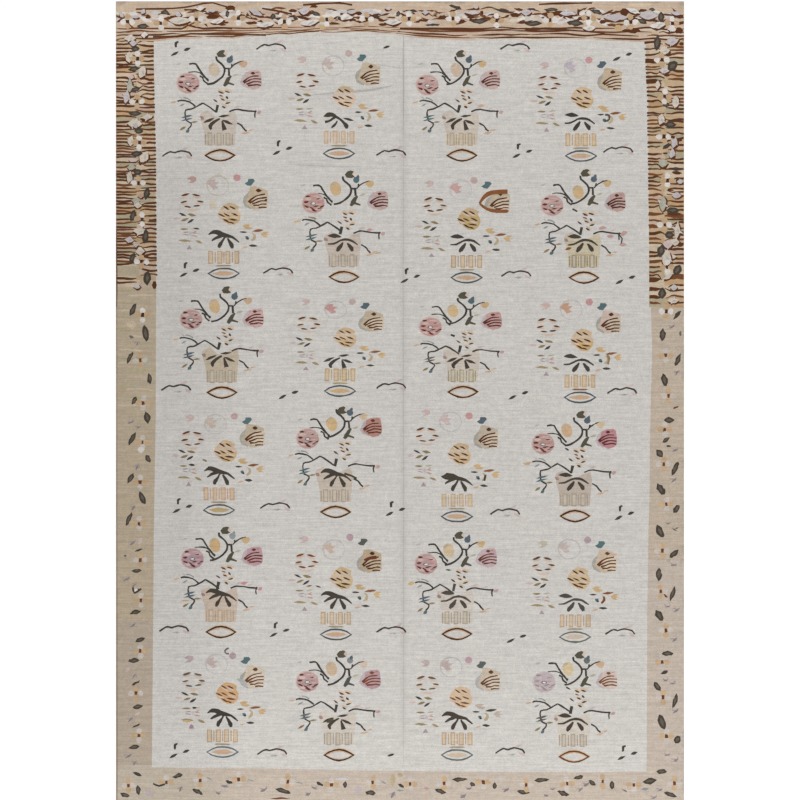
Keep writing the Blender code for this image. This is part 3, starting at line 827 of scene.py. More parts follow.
# Streaks in the chain's ground, thrown about with a fixed seed, then rows of long brown lines squeezed between
# the chain and the field: each row's height is its share of the way down to the field's edge
def weaveTop():
    for streak in range(310):
        x, y = rng.uniform(118, 682), rng.triangular(8, 17, 26)
        isBrown = topStreaks[streak % len(topStreaks)].startswith("brown")
        length, width = (rng.uniform(9, 20), rng.uniform(1.5, 2.9)) if isBrown else (rng.uniform(8, 16),
                                                                                   rng.uniform(2.2, 4.4))
        weave(topStreaks[streak % len(topStreaks)],
              leaf(x, y, length, width, rng.normal(0, 16), rng.uniform(-2, 2), 2.4), hand=0.3)
    edgeX, edgeY = np.array(topRows["edge"]).T
    for row in range(topRows["count"]):
        x = 112.0
        while x < 684:
            span = rng.uniform(45, 130)
            stops = np.linspace(x, min(x + span, 686), 7)
            share = (row + 0.5) / topRows["count"]
            heights = topRows["above"] + share * (np.interp(stops, edgeX, edgeY) - topRows["above"])
            places = np.stack([stops, heights + rng.normal(0, 0.5, 7)], axis=1)
            squeeze = np.clip((heights[3] - topRows["above"]) / (row + 0.5) / 2.6, 0.5, 1.15)
            weave("brown" if rng.random() < 0.6 else "brownLight",
                  line((0.5, 1.7 * squeeze, 1.5 * squeeze, 0.5), *places), hand=0.1)
            weave("cream" if rng.random() < 0.5 else "stripeRose",
                  line((0.5, 1.5 * squeeze, 0.5), *(places + (0, 1.5 * squeeze))), hand=0.1)
            x += span + rng.uniform(-4, 12)
    for x, y, length, width, yarn in topBands:
        weave(yarn, leaf(x, y, length, width, 0, 0, 5), hand=0.35)
    for thick, *places in topLines:
        weave("brown", line(thick, *places), hand=0.2)


# Flowers of the chain: two tan petals and two pale ones round a dark middle

flower = {"reach": 4.6, "length": 6.0, "width": 5.8, "middle": (2.7, 3.6)}
flowers = {  # x, y, and whether the tan petals stand upright
    "upperLeft": [(137.4, 58.7, 0), (137.3, 101.5, 1), (139.4, 142.7, 0), (138.4, 183.2, 1), (141.9, 219.2, 0),
                  (141.5, 261.4, 1), (142.5, 314.9, 0)],
    "upperRight": [(662.1, 59.9, 1), (664.6, 96.3, 0), (664.1, 136.7, 1), (667.6, 180.6, 0), (664.8, 224.7, 1),
                   (667.3, 267.2, 0), (666.5, 311.5, 1)],
    "top": [(127.6, 21.7, 1), (160.7, 23.2, 0), (196.3, 19.2, 1), (238.4, 18, 0), (284.5, 21.6, 1),
            (326.9, 19.4, 0), (366.9, 19.1, 1), (409, 18.8, 0), (453, 18.8, 1), (496.9, 20.4, 0), (550.3, 20, 1),
            (588.6, 18, 0), (630.5, 22.1, 1), (672.5, 23.4, 0)],
    "left": [(140.4, 360.1, 1), (143.5, 403, 0), (142.4, 442.3, 0), (140.2, 482, 0), (139.2, 523.8, 0),
             (140.2, 560, 1), (140.8, 600.6, 0), (140.2, 650.9, 0), (135.8, 693.1, 1), (138.8, 735.6, 0)],
    "right": [(665.7, 355.3, 0), (668.5, 395.9, 1), (664.7, 429.4, 0), (663.9, 464.1, 1), (666.6, 504.3, 0),
              (662.4, 550.6, 1), (660.6, 591.5, 1), (666, 630.3, 1), (662.1, 662, 0), (663.2, 697.4, 1),
              (666.6, 736.2, 0)],
    "bottom": [(128.1, 785.5, 1), (166.4, 782.4, 0), (200.1, 780.3, 1), (238.6, 779.2, 0), (287.4, 781.6, 1),
               (331.2, 784.7, 0), (372.9, 782.5, 1), (410.3, 784.1, 0), (444.2, 783.3, 1), (483.5, 782.4, 0),
               (526.3, 785, 1), (567.1, 783.9, 0), (602.7, 781.3, 1), (633.8, 784.9, 0), (674.2, 783.2, 1)],
}


def weaveFlower(x, y, isUpright, tan, pale, centre):
    for turn in (0, 90, 180, 270):
        isTan = (turn in (90, 270)) == bool(isUpright)
        along = flower["reach"] + rng.normal(0, 0.25)
        middle = turned(x, y, np.array([along]), np.array([rng.normal(0, 0.3)]), turn)[0]
        weave(tan if isTan else pale, oval(*middle, flower["length"], flower["width"], turn), hand=0.3)
    width, height = flower["middle"]
    weave(centre, box(x - width / 2, y - height / 2, x + width / 2, y + height / 2), hand=0.3)


def weaveFlowers():
    for part, places in flowers.items():
        isUpper = part in ("upperLeft", "upperRight", "top")
        tan, pale = ("petalTan", "white") if isUpper else ("AF9577", "B3AAA1")
        for x, y, isUpright in places:
            weaveFlower(x, y, isUpright, tan, pale, "bloomCentre" if isUpper else "5C3318")


# Leaves of the chain: x, y, length, width, turn

darkLeaves = {
    "left": [(132.9, 309.6, 14.5, 5, 63), (145.6, 333.5, 18, 7, -83), (129.8, 357.2, 14.5, 4.5, 62),
             (149.8, 378.5, 11, 5, -80), (134.4, 400.7, 9.5, 5.5, 60), (147.3, 417.5, 12.5, 6.5, -78),
             (132.2, 438.8, 16, 4.5, 62), (148.1, 458.5, 9.5, 5, -65), (130.7, 478.4, 11.5, 5, 60),
             (142.3, 497.9, 14, 6, -68), (128.8, 519.3, 15.5, 4.5, 67), (138.3, 550.4, 8, 2.2, 20),
             (136.9, 570.6, 10.5, 4.5, 5), (137.4, 591, 8, 2.6, 30), (135.6, 612.3, 12.5, 4.2, 12),
             (140.2, 639.9, 10.5, 4, 20), (133.7, 660.8, 12.5, 4.8, 8), (135.6, 683, 9.5, 2.2, 30),
             (137.7, 706.6, 12, 4.5, 8), (136.5, 725.5, 9.5, 2, 25), (134, 747, 11, 4.8, 5),
             (137.7, 774.2, 9.5, 3.5, -18)],
    "right": [(662.2, 293.3, 12, 8, 85), (677, 315, 12, 3.5, 48), (662.7, 334.8, 13.5, 6.5, 85),
              (678, 360, 14.5, 5, 65), (664.6, 380, 14, 6.5, -75), (669.3, 420, 11.5, 6, 0),
              (666, 439.7, 9.5, 4, 32), (659.8, 453.5, 9.5, 6.5, -50), (675.1, 468.5, 16, 5, 65),
              (660.6, 489.2, 13.5, 7, -58), (676.8, 508.7, 10, 6, 55), (659.8, 531.5, 14.5, 7, -65),
              (673.9, 553.6, 12.5, 4.8, 40), (658.9, 574.4, 14, 6.5, 88), (672.6, 593.4, 16.5, 4.2, 73),
              (659.3, 615.4, 13, 6.5, -60), (667.5, 653.4, 12, 5, 0), (664.3, 672.4, 9, 3.5, 22),
              (657.3, 686.1, 11.5, 6, -52), (675.1, 700.6, 15.5, 4.5, 72), (661.8, 722.1, 16.5, 8, -70),
              (677.6, 739.6, 9, 7, 50), (661.8, 771.5, 11.5, 4.2, 0)],
    "bottom": [(125.5, 795, 10.5, 4.6, -15), (138.4, 789.8, 10.5, 5, -80), (177.5, 775.6, 10, 4, 15),
               (197.5, 791.6, 12, 4.2, -27), (228.8, 781.8, 7.5, 3, -25), (283, 790.8, 17, 4.6, -16),
               (319.6, 784, 8, 3.6, -40), (344.9, 784.7, 7, 4.4, 90), (370.5, 792.7, 11, 5.4, -8),
               (401.1, 786, 7, 3.4, -35), (440.5, 791.2, 12, 4.4, -20), (460.1, 779.5, 16, 4, 3),
               (472.4, 784.4, 7, 3.8, -30), (494.8, 785.8, 7.5, 4.4, 90), (523.1, 791.9, 12.5, 4.4, -8),
               (541.3, 780.1, 15, 4.8, 4), (563.1, 793.3, 13, 4.6, -22), (578.6, 777.5, 10.5, 4, 16),
               (592.1, 782.7, 9, 4, -35), (612.1, 785, 8.5, 5, 90), (649.7, 781, 14.5, 6, 8),
               (670.4, 794.4, 14, 4.4, -18)],
    "upperLeft": [(135.3, 49, 8, 5, 0), (134, 69, 11, 5, 10), (135.3, 89.4, 9, 5, 10), (135.3, 113.5, 12, 5, 0),
                  (138.7, 131, 8, 5, 0), (136.4, 153.9, 11, 5, 5), (137.6, 172.3, 8, 6, 0),
                  (146.7, 193.5, 11, 6, 80), (133, 215.5, 11, 5.5, 70), (145.6, 236.2, 13, 6, 85),
                  (132.4, 258, 10, 5, 70), (147.3, 278, 13, 7, 85)],
    "upperRight": [(657.2, 42.9, 14, 6.4, 85), (672.7, 65.9, 11, 8, 40), (666.4, 104.9, 7, 4, 0),
                   (670.4, 124.6, 11, 6, 0), (667, 146.2, 9, 3.6, 30), (675.6, 168.8, 14, 2.8, 0),
                   (672.7, 210.4, 12, 5.4, 0), (669.3, 235, 9, 6.6, 0), (661.2, 250.5, 12, 7, 80),
                   (677.3, 270, 11, 7, 60)],
    "top": [(165.4, 12.5, 9, 4.2, -15), (143, 26.3, 12, 5.5, 0), (227.4, 14.3, 7, 4.6, 90),
            (247.6, 15, 5, 3, 90), (273, 16.4, 7, 5, 80), (296, 18.2, 6, 3, -20), (316, 13.9, 9, 4.6, -20),
            (339.7, 18.2, 6, 3, -40), (377.2, 16.4, 8, 3, -10), (398.4, 13.9, 7, 4.4, 80), (413, 10.7, 11, 3, -5),
            (455.7, 7.3, 14, 3.4, -20), (503, 10.9, 20, 3, -8), (479.4, 21.2, 18, 5, 3), (432.7, 24.8, 15, 2.5, 3),
            (533.3, 23.6, 19, 5, 5), (550.9, 9.7, 15, 4, 0), (575, 23, 17, 6, -5), (596.6, 12, 12, 5, -15),
            (652, 9.4, 6, 4, 0), (660.9, 17, 11, 6, 90), (642, 21.4, 11, 5, -25)],
}
paleLeaves = {  # x, y, length, width, turn, yarn
    "upperLeft": [(144.4, 34.9, 5, 5, 0, "white"), (130, 38.3, 9, 5, 0, "cream"), (133, 43, 6, 5, 0, "lavender"),
                  (129, 57.3, 9, 7, 90, "cream"), (142, 72.2, 10, 7, 70, "cream"), (131, 76.8, 5, 4, 0, "pinkPale"),
                  (129.5, 85.4, 12, 5, 85, "sage"), (126.6, 96.9, 11, 6, 80, "lavender"),
                  (146.7, 117.2, 10, 5, 10, "cream"), (134.7, 123.5, 12, 8, 0, "cream"),
                  (135.3, 125.8, 4, 4, 0, "greyPale"), (130.7, 140.7, 8, 6, 80, "cream"),
                  (143.9, 156.8, 10, 8, 60, "cream"), (133, 159.6, 8, 4, 0, "pinkPale"),
                  (131.2, 167.1, 7, 6, 0, "sage"), (129.5, 176.9, 9, 6, 80, "cream"), (141, 195.8, 4, 4, 0, "pink"),
                  (135.8, 200.6, 7, 5, 0, "sage"), (137.6, 205.2, 6, 5, 0, "cream"), (139.9, 231, 12, 6, 0, "cream"),
                  (129.5, 239.6, 7, 5, 0, "lavender"), (135.8, 244.8, 4, 4, 0, "greyPale"),
                  (140.4, 251.1, 7, 7, 0, "cream"), (136.8, 286.7, 6, 4, 0, "lavender")],
    "upperRight": [(672, 29, 7, 5, 0, "white"), (672, 41.2, 11, 7, 10, "lavender"), (664.7, 50.4, 9, 7, 0, "cream"),
                   (664, 70.5, 8, 5, 0, "lavender"), (657.8, 84.8, 8, 4, 85, "cream"),
                   (675.6, 102, 10, 6, 85, "cream"), (661.2, 119.5, 9, 6, 80, "cream"),
                   (674.4, 142.4, 9, 6, 80, "lavender"), (672, 153.3, 8, 5, 80, "lavender"),
                   (663, 163.1, 8, 8, 0, "sage"), (680, 181.5, 5, 4, 0, "lavender"),
                   (676.7, 195.2, 8, 5, 0, "lavender"), (663, 203.5, 13, 6, 85, "sage"),
                   (677.3, 230.4, 14, 5, 85, "cream"), (674.4, 241.9, 9, 6, 0, "cream"),
                   (667.6, 244.2, 8, 8, 0, "pinkPale"), (672, 256.8, 8, 4, 0, "cream"),
                   (666.4, 258, 14, 8, 85, "cream"), (668, 276.4, 9, 4, 35, "cream"),
                   (673.6, 287.4, 6, 5, 0, "lavender"), (672.8, 300.4, 9, 5, 0, "cream")],
    "top": [(200.2, 8, 10, 4, 5, "white"), (217, 21, 13, 5, 10, "white"), (265.1, 24.8, 15, 6, 8, "white"),
            (310, 22.4, 17, 6, 8, "white"), (331.8, 15.8, 12, 4, 0, "white"), (345, 17.6, 14, 5, 0, "white"),
            (393, 21.8, 15, 6, 0, "white"), (588.6, 27.7, 12, 6, 0, "white"), (633.2, 10.7, 14, 5, -20, "white"),
            (658.2, 25, 15, 7, 10, "white"), (121.6, 15.2, 6, 4, -40, "lavender"), (143, 11.6, 5, 4, 60, "lavender"),
            (135.9, 17, 6, 2.5, 0, "lavender"), (177.9, 14.3, 6, 6, 0, "lavender"), (179.6, 20.5, 20, 8, 0, "cream"),
            (212.7, 10.7, 9, 3, 0, "lavender"), (255.4, 12.1, 14, 6, -25, "lavender"),
            (303.9, 10.9, 10, 8, 0, "lavender"), (351, 12, 8, 4, 0, "lavender"), (383.9, 13.3, 9, 2, 10, "lavender"),
            (387.5, 8.5, 6, 3, 0, "lavender"), (425.4, 12.1, 7, 4, 0, "lavender"), (471.5, 12.7, 14, 4, 0, "lavender"),
            (476, 7.3, 5, 3, 0, "lavender"), (526, 12.1, 10, 6, 0, "lavender"), (568.4, 13.3, 15, 5, 0, "lavender"),
            (615.4, 17.4, 22, 7, 0, "lavender"), (648.4, 15.2, 16, 9, 0, "lavender"),
            (676, 13.4, 9, 4, -10, "lavender")],
}


# Pale leaves are larger in the side borders. Each has brown behind its lower side and a shade of grey inside.
def weaveLeaves():
    for part, rows in paleLeaves.items():
        more = 1.25 if part.startswith("upper") else 1.1
        for x, y, length, width, turn, yarn in rows:
            weave("brown", leaf(x + 0.5, y + 1.1, length * more + 1.2, width * more + 0.6, turn, 0, 2.6), hand=0.3)
            if part.startswith("upper") and width > 4.5:
                weave("brown", leaf(x + 0.4, y + 0.8, length * 1.1, width * 0.8, turn + 62, 0, 1.6), hand=0.3)
                weave("lavenderPale" if yarn != "lavender" else "cream",
                      leaf(x, y, length * 1.05, width * 0.62, turn + 62, 0, 1.5), hand=0.3)
            weave(yarn, leaf(x, y, length * more * 1.05, width * more * 0.9, turn, 0, 1.7), hand=0.35)
            if width > 4.5:
                weave("mauvePale" if yarn == "lavender" else "greyPale",
                      leaf(x + 1, y + 0.6, length * 0.5, width * 0.35, turn + 20), hand=0.2)
    for part, rows in darkLeaves.items():
        more = 1.15 if part.startswith("upper") else 1.0
        for x, y, length, width, turn in rows:
            weave("leafDark", leaf(x, y, length * more, width * more, turn, 0, 2.2), hand=0.35)
            if width > 3.6:
                weave("leafCore", leaf(x, y, length * 0.6, width * 0.45, turn), hand=0.2)


# Small sprigs beside the chain in the plain borders: x, y, length, width, turn, yarn
sprigMarks = {
    "left": [(131.3, 337, 6, 3, -20, "greyDark"), (137.5, 343.5, 6, 2.6, 70, "mauve"), (136, 385.5, 8, 2.6, 28, "sage"),
             (130.7, 422.4, 7, 2.4, 20, "mauve"), (138.5, 427.4, 5, 2.6, 30, "mauve"), (137.3, 467.2, 8, 3, 65, "mauve"),
             (133.1, 507.8, 6, 3, 60, "mauve"), (140.2, 540.8, 8, 4.4, 70, "pinkPale"), (132.7, 542.9, 8, 2.8, 38, "mauve"),
             (124.9, 555.7, 3, 2.4, 0, "greyDark"), (126.5, 579.3, 9, 3, 36, "mauve"), (134.4, 585.1, 6, 2.6, 45, "mauve"),
             (136, 590.1, 5, 3.6, 0, "white"), (132.7, 625.4, 8, 2.8, 36, "mauve"), (127.8, 669.5, 7, 2.8, 50, "pinkPale"),
             (134, 676.5, 7, 2.8, 55, "mauve"), (130.2, 719.7, 6.6, 2.8, 50, "mauve"), (137.7, 713.8, 6, 2.6, 30, "pinkPale"),
             (128.6, 756.1, 10, 3, 32, "mauve"), (134.8, 763.2, 7, 2.8, 60, "mauve"), (131.9, 324.8, 10, 8, 0, "stripePale"),
             (122.5, 324, 9, 2.6, 0, "khaki"), (122.5, 331, 9, 2.2, 0, "khaki"), (122.5, 390.5, 9, 7, 0, "khaki"),
             (148, 364, 8, 4, 80, "sage"), (141, 449.8, 8, 7, 0, "white")],
    "right": [(671.8, 326.9, 7, 2.8, 30, "mauve"), (680.5, 333.5, 5, 3, 90, "greyDark"), (677.2, 372.9, 7, 3, 55, "mauve"),
              (675.9, 407.3, 6.4, 2, 22, "brownLight"), (668.5, 446.2, 5.4, 2.5, 0, "leafDark"),
              (675.1, 450.2, 6.4, 3, 20, "mauve"), (673.9, 480.1, 8, 3.4, 40, "mauve"), (668, 523.6, 4.4, 3, 0, "mauve"),
              (674.7, 529.8, 7, 1.4, -30, "greyDark"), (676.8, 528.2, 5.6, 1.4, 24, "greyDark"),
              (668.9, 560.3, 6, 3, 30, "sage"), (673.9, 565.2, 7, 2.2, 10, "mauve"), (665.6, 595.9, 6, 2.2, -38, "brownLight"),
              (667.6, 606.7, 5.6, 2.4, 0, "mauve"), (676.8, 610, 8, 3, 34, "mauve"), (674.3, 639.9, 7, 3, 36, "mauve"),
              (665.6, 680.3, 4.4, 3, 0, "mauve"), (672.2, 683.6, 8, 2.5, 10, "mauve"), (675.5, 711.4, 8, 3, 34, "mauve"),
              (667.2, 755.3, 5.4, 3, 10, "mauve"), (675.5, 760.3, 9, 3, 30, "mauve")],
    "bottom": [(149, 793.3, 10, 5, 10, "mauvePale"), (184, 784, 6.6, 2, -38, "pinkPale"), (180.6, 789.3, 7, 3.6, 60, "mauve"),
               (209.6, 778.9, 8.6, 1.3, -32, "slatePale"), (250.9, 780.4, 8, 1.3, -22, "slatePale"),
               (299.8, 783.1, 8, 1.3, -16, "slatePale"), (383.9, 782.3, 9, 1.5, -30, "slatePale"),
               (224.8, 786.4, 9, 3.4, -10, "mauve"), (218.3, 793.3, 5.4, 4, 0, "mauve"), (263.8, 789.8, 8.6, 4, 30, "mauve"),
               (280, 798.4, 20, 1.6, 0, "brownLight"), (314.4, 788.1, 7.4, 3, -20, "mauve"), (308.1, 794.4, 6, 4, 20, "mauve"),
               (342, 779, 14, 2.5, 0, "lavenderPale"), (358, 789.8, 8.6, 6, 20, "mauvePale"), (393, 780, 5, 14, 0, "khaki"),
               (400, 775, 6, 5, 0, "khaki"), (399.6, 790.4, 10, 1.6, 0, "slatePale"), (393, 795, 8, 5, 60, "mauve"),
               (426.4, 788.7, 6, 4, 0, "pink"), (468.9, 788.7, 6.4, 3.4, 10, "mauve"), (463.2, 796.1, 7.4, 5, 30, "mauve"),
               (498.8, 778.3, 7, 3, 0, "lavender"), (506.3, 790.4, 8, 4.4, 30, "mauve"), (552.7, 789.3, 5.4, 3.4, 0, "mauve"),
               (546.4, 795.6, 5.4, 4.4, 0, "mauve"), (586.6, 784.7, 7.4, 3.6, 30, "mauve"), (580.3, 789.8, 6, 3, 50, "mauve"),
               (624.5, 790.6, 6.6, 1.5, -25, "greyDark"), (659.7, 790.1, 6.4, 3, 25, "mauve"), (653.9, 797.5, 6.6, 4.4, 20, "mauve"),
               (645, 789, 8, 3, 10, "slatePale")],
}
hooks = [  # thickness, yarn, then the line's places
    (1.8, "leafDark", (153, 783.6), (158.8, 785.8), (165, 784)),
    (2, "leafDark", (132.7, 587.2), (134.4, 593), (141, 588.9)),
    (1.1, "brown", (116.6, 230), (116.8, 270), (116.6, 307)),
    (1.3, "8A7C6D", (116.6, 307), (117, 420), (116.8, 560), (117.2, 700), (116.8, 800)),
]


# A sprig is a fan of three small leaves: two shorter ones stand off its own line by a turn each
def weaveMarks():
    for rows in sprigMarks.values():
        for x, y, length, width, turn, yarn in rows:
            if yarn == "mauve":
                for side in (-38, 38):
                    weave("mauve", leaf(x + side * 0.05, y - 0.03 * abs(side), length * 0.7, 1.3, turn + side), hand=0.2)
                weave("sprigDark", leaf(x, y, length, width * 0.62, turn), hand=0.25)
            else:
                weave(yarn, leaf(x, y, length, width, turn), hand=0.25)
    for thick, yarn, *places in hooks:
        weave(yarn, line(thick, *places))


# Cloth

folds = [
    {"start": (0.013, 1.400), "end": (0.013, -1.400), "height": 0.0018, "foot": 0.020, "fade": 0.300},
    {"start": (-0.333, 1.131), "end": (-0.037, 1.165), "height": 0.0014, "foot": 0.016, "fade": 0.080},
    {"start": (-0.425, 0.882), "end": (-0.222, 0.872), "height": 0.0012, "foot": 0.016, "fade": 0.070},
]
cloth = {"thickness": 0.0025, "gridStep": 0.040, "foldStep": 0.005, "roundRim": 0.0022,
         "slack": 0.00025}


# Height of the cloth's underside: across each fold (1 - d^2)^2, with d the distance from its line as a share
# of its foot, and along it a smooth step over the fade at each end
def lift(x, y):
    height = np.zeros_like(x)
    for fold in folds:
        start = np.array(fold["start"])
        run = np.array(fold["end"]) - start
        length = np.linalg.norm(run)
        along = ((x - start[0]) * run[0] + (y - start[1]) * run[1]) / length
        aside = ((x - start[0]) * run[1] - (y - start[1]) * run[0]) / length
        across = np.clip(1 - (aside / fold["foot"]) ** 2, 0, 1) ** 2
        inside = np.clip(np.minimum(along, length - along) / fold["fade"], 0, 1)
        height = np.maximum(height, fold["height"] * across * inside**2 * (3 - 2 * inside))
    return height


# Colour shifts over the cloth: brighter towards the ends, darker along the left edge, and fold, the painted shade of
# the creases
toneShiftsAndFoldShade = {"ends": 0.135, "leftEdge": 0.10, "leftFrom": 0.50, "leftOver": 0.35, "leftTop": 1.15, "leftRise": 0.40,
        "fold": 0.09}


# Smooth step from 0 to 1
def smooth(share):
    share = np.clip(share, 0, 1)
    return share**2 * (3 - 2 * share)


# Brightness of the wool's colour, as a factor: 1 + a times the cube of the distance from the middle towards an
# end, less a smooth step along the left edge (not at its upper end), and less a share of the cloth's lift
# over the folds, which is painted shade of the creases
def toneAndFoldShade(x, y):
    toEnd = np.abs(y) / ((high[1] - low[1]) / 2)
    left = smooth((-x - toneShiftsAndFoldShade["leftFrom"]) / toneShiftsAndFoldShade["leftOver"]) * smooth((toneShiftsAndFoldShade["leftTop"] - y) / toneShiftsAndFoldShade["leftRise"])
    # painted shade of the creases: darker where the cloth lifts over a fold
    foldShade = toneShiftsAndFoldShade["fold"] * lift(x, y) / folds[0]["height"]
    return (1 + toneShiftsAndFoldShade["ends"] * toEnd**3) * (1 - toneShiftsAndFoldShade["leftEdge"] * left) * (1 - foldShade)


# Chart places to metres on the floor, kept inside the rug's edges
def placed(outline):
    middle = (chart["left"] + chart["right"]) / 2, (chart["top"] + chart["bottom"]) / 2
    x = (np.clip(outline[:, 0], chart["left"], chart["right"]) - middle[0]) * square
    y = (middle[1] - np.clip(outline[:, 1], chart["top"], chart["bottom"])) * square
    return np.stack([x, y], axis=-1)


# Even grid points over the cloth, closer ones over each fold, and a second row just inside the rim
def gridPoints(halfWidth, halfLength):
    def mesh(xs, ys):
        return np.stack(np.meshgrid(xs, ys), axis=-1).reshape(-1, 2)

    def lines(start, end, step):
        return np.linspace(start, end, max(2, round(abs(end - start) / step) + 1))

    step, fine, rim = cloth["gridStep"], cloth["foldStep"], cloth["roundRim"]
    xs, ys = lines(-halfWidth, halfWidth, step), lines(-halfLength, halfLength, step)
    patches = [mesh(xs, ys)]
    patches.append(mesh((-halfWidth + rim, halfWidth - rim), ys[1:-1]))
    patches.append(mesh(xs[1:-1], (-halfLength + rim, halfLength - rim)))
    for fold in folds:
        (x0, y0), (x1, y1) = fold["start"], fold["end"]
        isUpright = abs(y1 - y0) > abs(x1 - x0)
        reach = fold["foot"]
        if isUpright:
            patches.append(mesh(lines(x0 - reach, x0 + reach, fine), lines(y0, y1, step)))
        else:
            share = lines(0, 1, fine * 2 / abs(x1 - x0))
            for offset in lines(-reach, reach, fine):
                patches.append(np.stack([x0 + (x1 - x0) * share, y0 + (y1 - y0) * share + offset], axis=-1))
    return np.concatenate(patches)


# Which of the points lie inside an outline: the outline's turns round each point, counted by the edges
# that pass it, upward ones less downward ones
def inside(points, outline):
    x, y = points[:, :1], points[:, 1:]
    x0, y0 = outline[:, 0], outline[:, 1]
    x1, y1 = np.roll(x0, -1), np.roll(y0, -1)
    leftOf = (x1 - x0) * (y - y0) - (x - x0) * (y1 - y0)
    upward = (y0 <= y) & (y1 > y) & (leftOf > 0)
    downward = (y0 > y) & (y1 <= y) & (leftOf < 0)
    return (upward.sum(axis=1) - downward.sum(axis=1)) != 0


# Triangles that have the given edges, without those of no area
def triangulate(points, edges):
    found = delaunay_2d_cdt([Vector(point) for point in points], edges, [], 0, 1e-5, False)
    flat = np.array([tuple(point) for point in found[0]])
    faces = np.array(found[2])
    spans = flat[faces]
    area = np.cross(spans[:, 1] - spans[:, 0], spans[:, 2] - spans[:, 0])
    return flat, faces[np.abs(area) > 1e-12]


# For each triangle the number of the last outline that holds its middle
def owners(flat, faces, chains):
    centres = flat[faces].mean(axis=1)
    owner = np.zeros(len(faces), dtype=int)
    order = np.argsort(centres[:, 1])
    heights = centres[order, 1]
    for number, chain in enumerate(chains):
        (left, lower), (right, upper) = chain.min(axis=0), chain.max(axis=0)
        near = order[np.searchsorted(heights, lower):np.searchsorted(heights, upper, "right")]
        near = near[(centres[near, 0] >= left) & (centres[near, 0] <= right)]
        if len(near):
            owner[near[inside(centres[near], chain)]] = number
    return owner


# Edges that show: those of the rim, and those between triangles of two owners
def shownEdges(faces, owner):
    pairs = np.sort(np.concatenate([faces[:, (0, 1)], faces[:, (1, 2)], faces[:, (2, 0)]]), axis=1)
    order = np.lexsort((pairs[:, 1], pairs[:, 0]))
    pairs, owner = pairs[order], np.tile(owner, 3)[order]
    isTwin = np.append((pairs[1:] == pairs[:-1]).all(axis=1), False)
    isSecond = np.append(False, isTwin[:-1])
    isBorder = isTwin & (owner != np.roll(owner, -1))
    return pairs[isBorder | ~(isTwin | isSecond)]


# Straightens the edges: a place with two edges goes where it lies within the slack of the line between its
# two neighbours, as long as no neighbour of a lower number goes too
def straightened(flat, edges):
    ends = np.concatenate([edges, edges[:, ::-1]])
    ends = ends[np.lexsort((ends[:, 1], ends[:, 0]))]
    counts = np.bincount(ends[:, 0], minlength=len(flat))
    first = np.cumsum(counts) - counts
    places = np.flatnonzero(counts == 2)
    one, two = ends[first[places], 1], ends[first[places] + 1, 1]
    along, away = flat[two] - flat[one], flat[places] - flat[one]
    length = np.maximum(np.linalg.norm(along, axis=1), 1e-9)
    slack = np.abs(along[:, 0] * away[:, 1] - along[:, 1] * away[:, 0]) / length
    goes = np.zeros(len(flat), dtype=bool)
    goes[places] = (slack < cloth["slack"]) & (length > 1e-6)
    goes[places] &= ~((goes[one] & (one < places)) | (goes[two] & (two < places)))
    gone = goes[places]
    kept = edges[~(goes[edges[:, 0]] | goes[edges[:, 1]])]
    return np.concatenate([kept, np.column_stack([one[gone], two[gone]])])


# One triangle mesh with the outlines as edges, each triangle in the yarn of the last outline that holds its
# middle. The outlines are cut with each other first, and only the edges that show go into the mesh.
def makeCloth():
    halfWidth, halfLength = (high[0] - low[0]) / 2, (high[1] - low[1]) / 2
    chains = [placed(outline) for colour, outline in woven]
    first = np.cumsum([0] + [len(chain) for chain in chains[:-1]])
    edges = [(start + place, start + (place + 1) % len(chain))
             for start, chain in zip(first, chains) for place in range(len(chain))]
    flat, faces = triangulate(np.concatenate(chains), edges)
    edges = shownEdges(faces, owners(flat, faces, chains))
    for turn in range(3):
        edges = straightened(flat, edges)
    used, edges = np.unique(edges, return_inverse=True)
    points = np.concatenate([flat[used], gridPoints(halfWidth, halfLength)])
    flat, faces = triangulate(points, edges.reshape(-1, 2).tolist())
    colours = np.array([colour for colour, outline in woven])[owners(flat, faces, chains)]
    print("cloth: %d outlines, %d points, %d triangles a side" % (len(woven), len(flat), len(faces)))

    x, y = flat[:, 0], flat[:, 1]
    toRim = np.minimum(halfWidth - np.abs(x), halfLength - np.abs(y))
    rounding = 0.35 * cloth["thickness"] * np.clip(1 - toRim / cloth["roundRim"], 0, 1) ** 2
    under = lift(x, y)
    top = np.column_stack([flat, under + cloth["thickness"] - rounding])
    bottom = np.column_stack([flat, under + rounding * 0.5])

    pairs = np.sort(np.concatenate([faces[:, (0, 1)], faces[:, (1, 2)], faces[:, (2, 0)]]), axis=1)
    directed = np.concatenate([faces[:, (0, 1)], faces[:, (1, 2)], faces[:, (2, 0)]])
    unique, index, count = np.unique(pairs, axis=0, return_index=True, return_counts=True)
    rim = directed[index[count == 1]]
    rimFace = np.tile(np.arange(len(faces)), 3)[index[count == 1]]
    size = len(flat)
    rimFaces = np.concatenate([
        np.column_stack([rim[:, 1], rim[:, 0], rim[:, 0] + size]),
        np.column_stack([rim[:, 1], rim[:, 0] + size, rim[:, 1] + size]),
    ])
    allFaces = np.concatenate([faces, faces[:, ::-1] + size, rimFaces])
    allColours = np.concatenate([colours, colours, colours[rimFace], colours[rimFace]])

    mesh = bpy.data.meshes.new("kilimCloth")
    mesh.from_pydata(np.concatenate([top, bottom]).tolist(), [], allFaces.tolist())
    mesh.shade_smooth()
    yarn = mesh.color_attributes.new("yarn", "FLOAT_COLOR", "CORNER")
    corner = np.ones((len(allFaces) * 3, 4), dtype=np.float32)
    # each corner's colour times its brightness shift, which holds the painted shade of the creases
    toneAndShade = np.tile(toneAndFoldShade(x, y), 2)[allFaces.ravel()]
    corner[:, :3] = np.repeat(allColours, 3, axis=0) * toneAndShade[:, None]
    yarn.data.foreach_set("color", corner.ravel())
    mesh.materials.append(woolTapestry())
    piece = bpy.data.objects.new("kilimCloth", mesh)
    bpy.context.scene.collection.objects.link(piece)
    return piece


# Materials

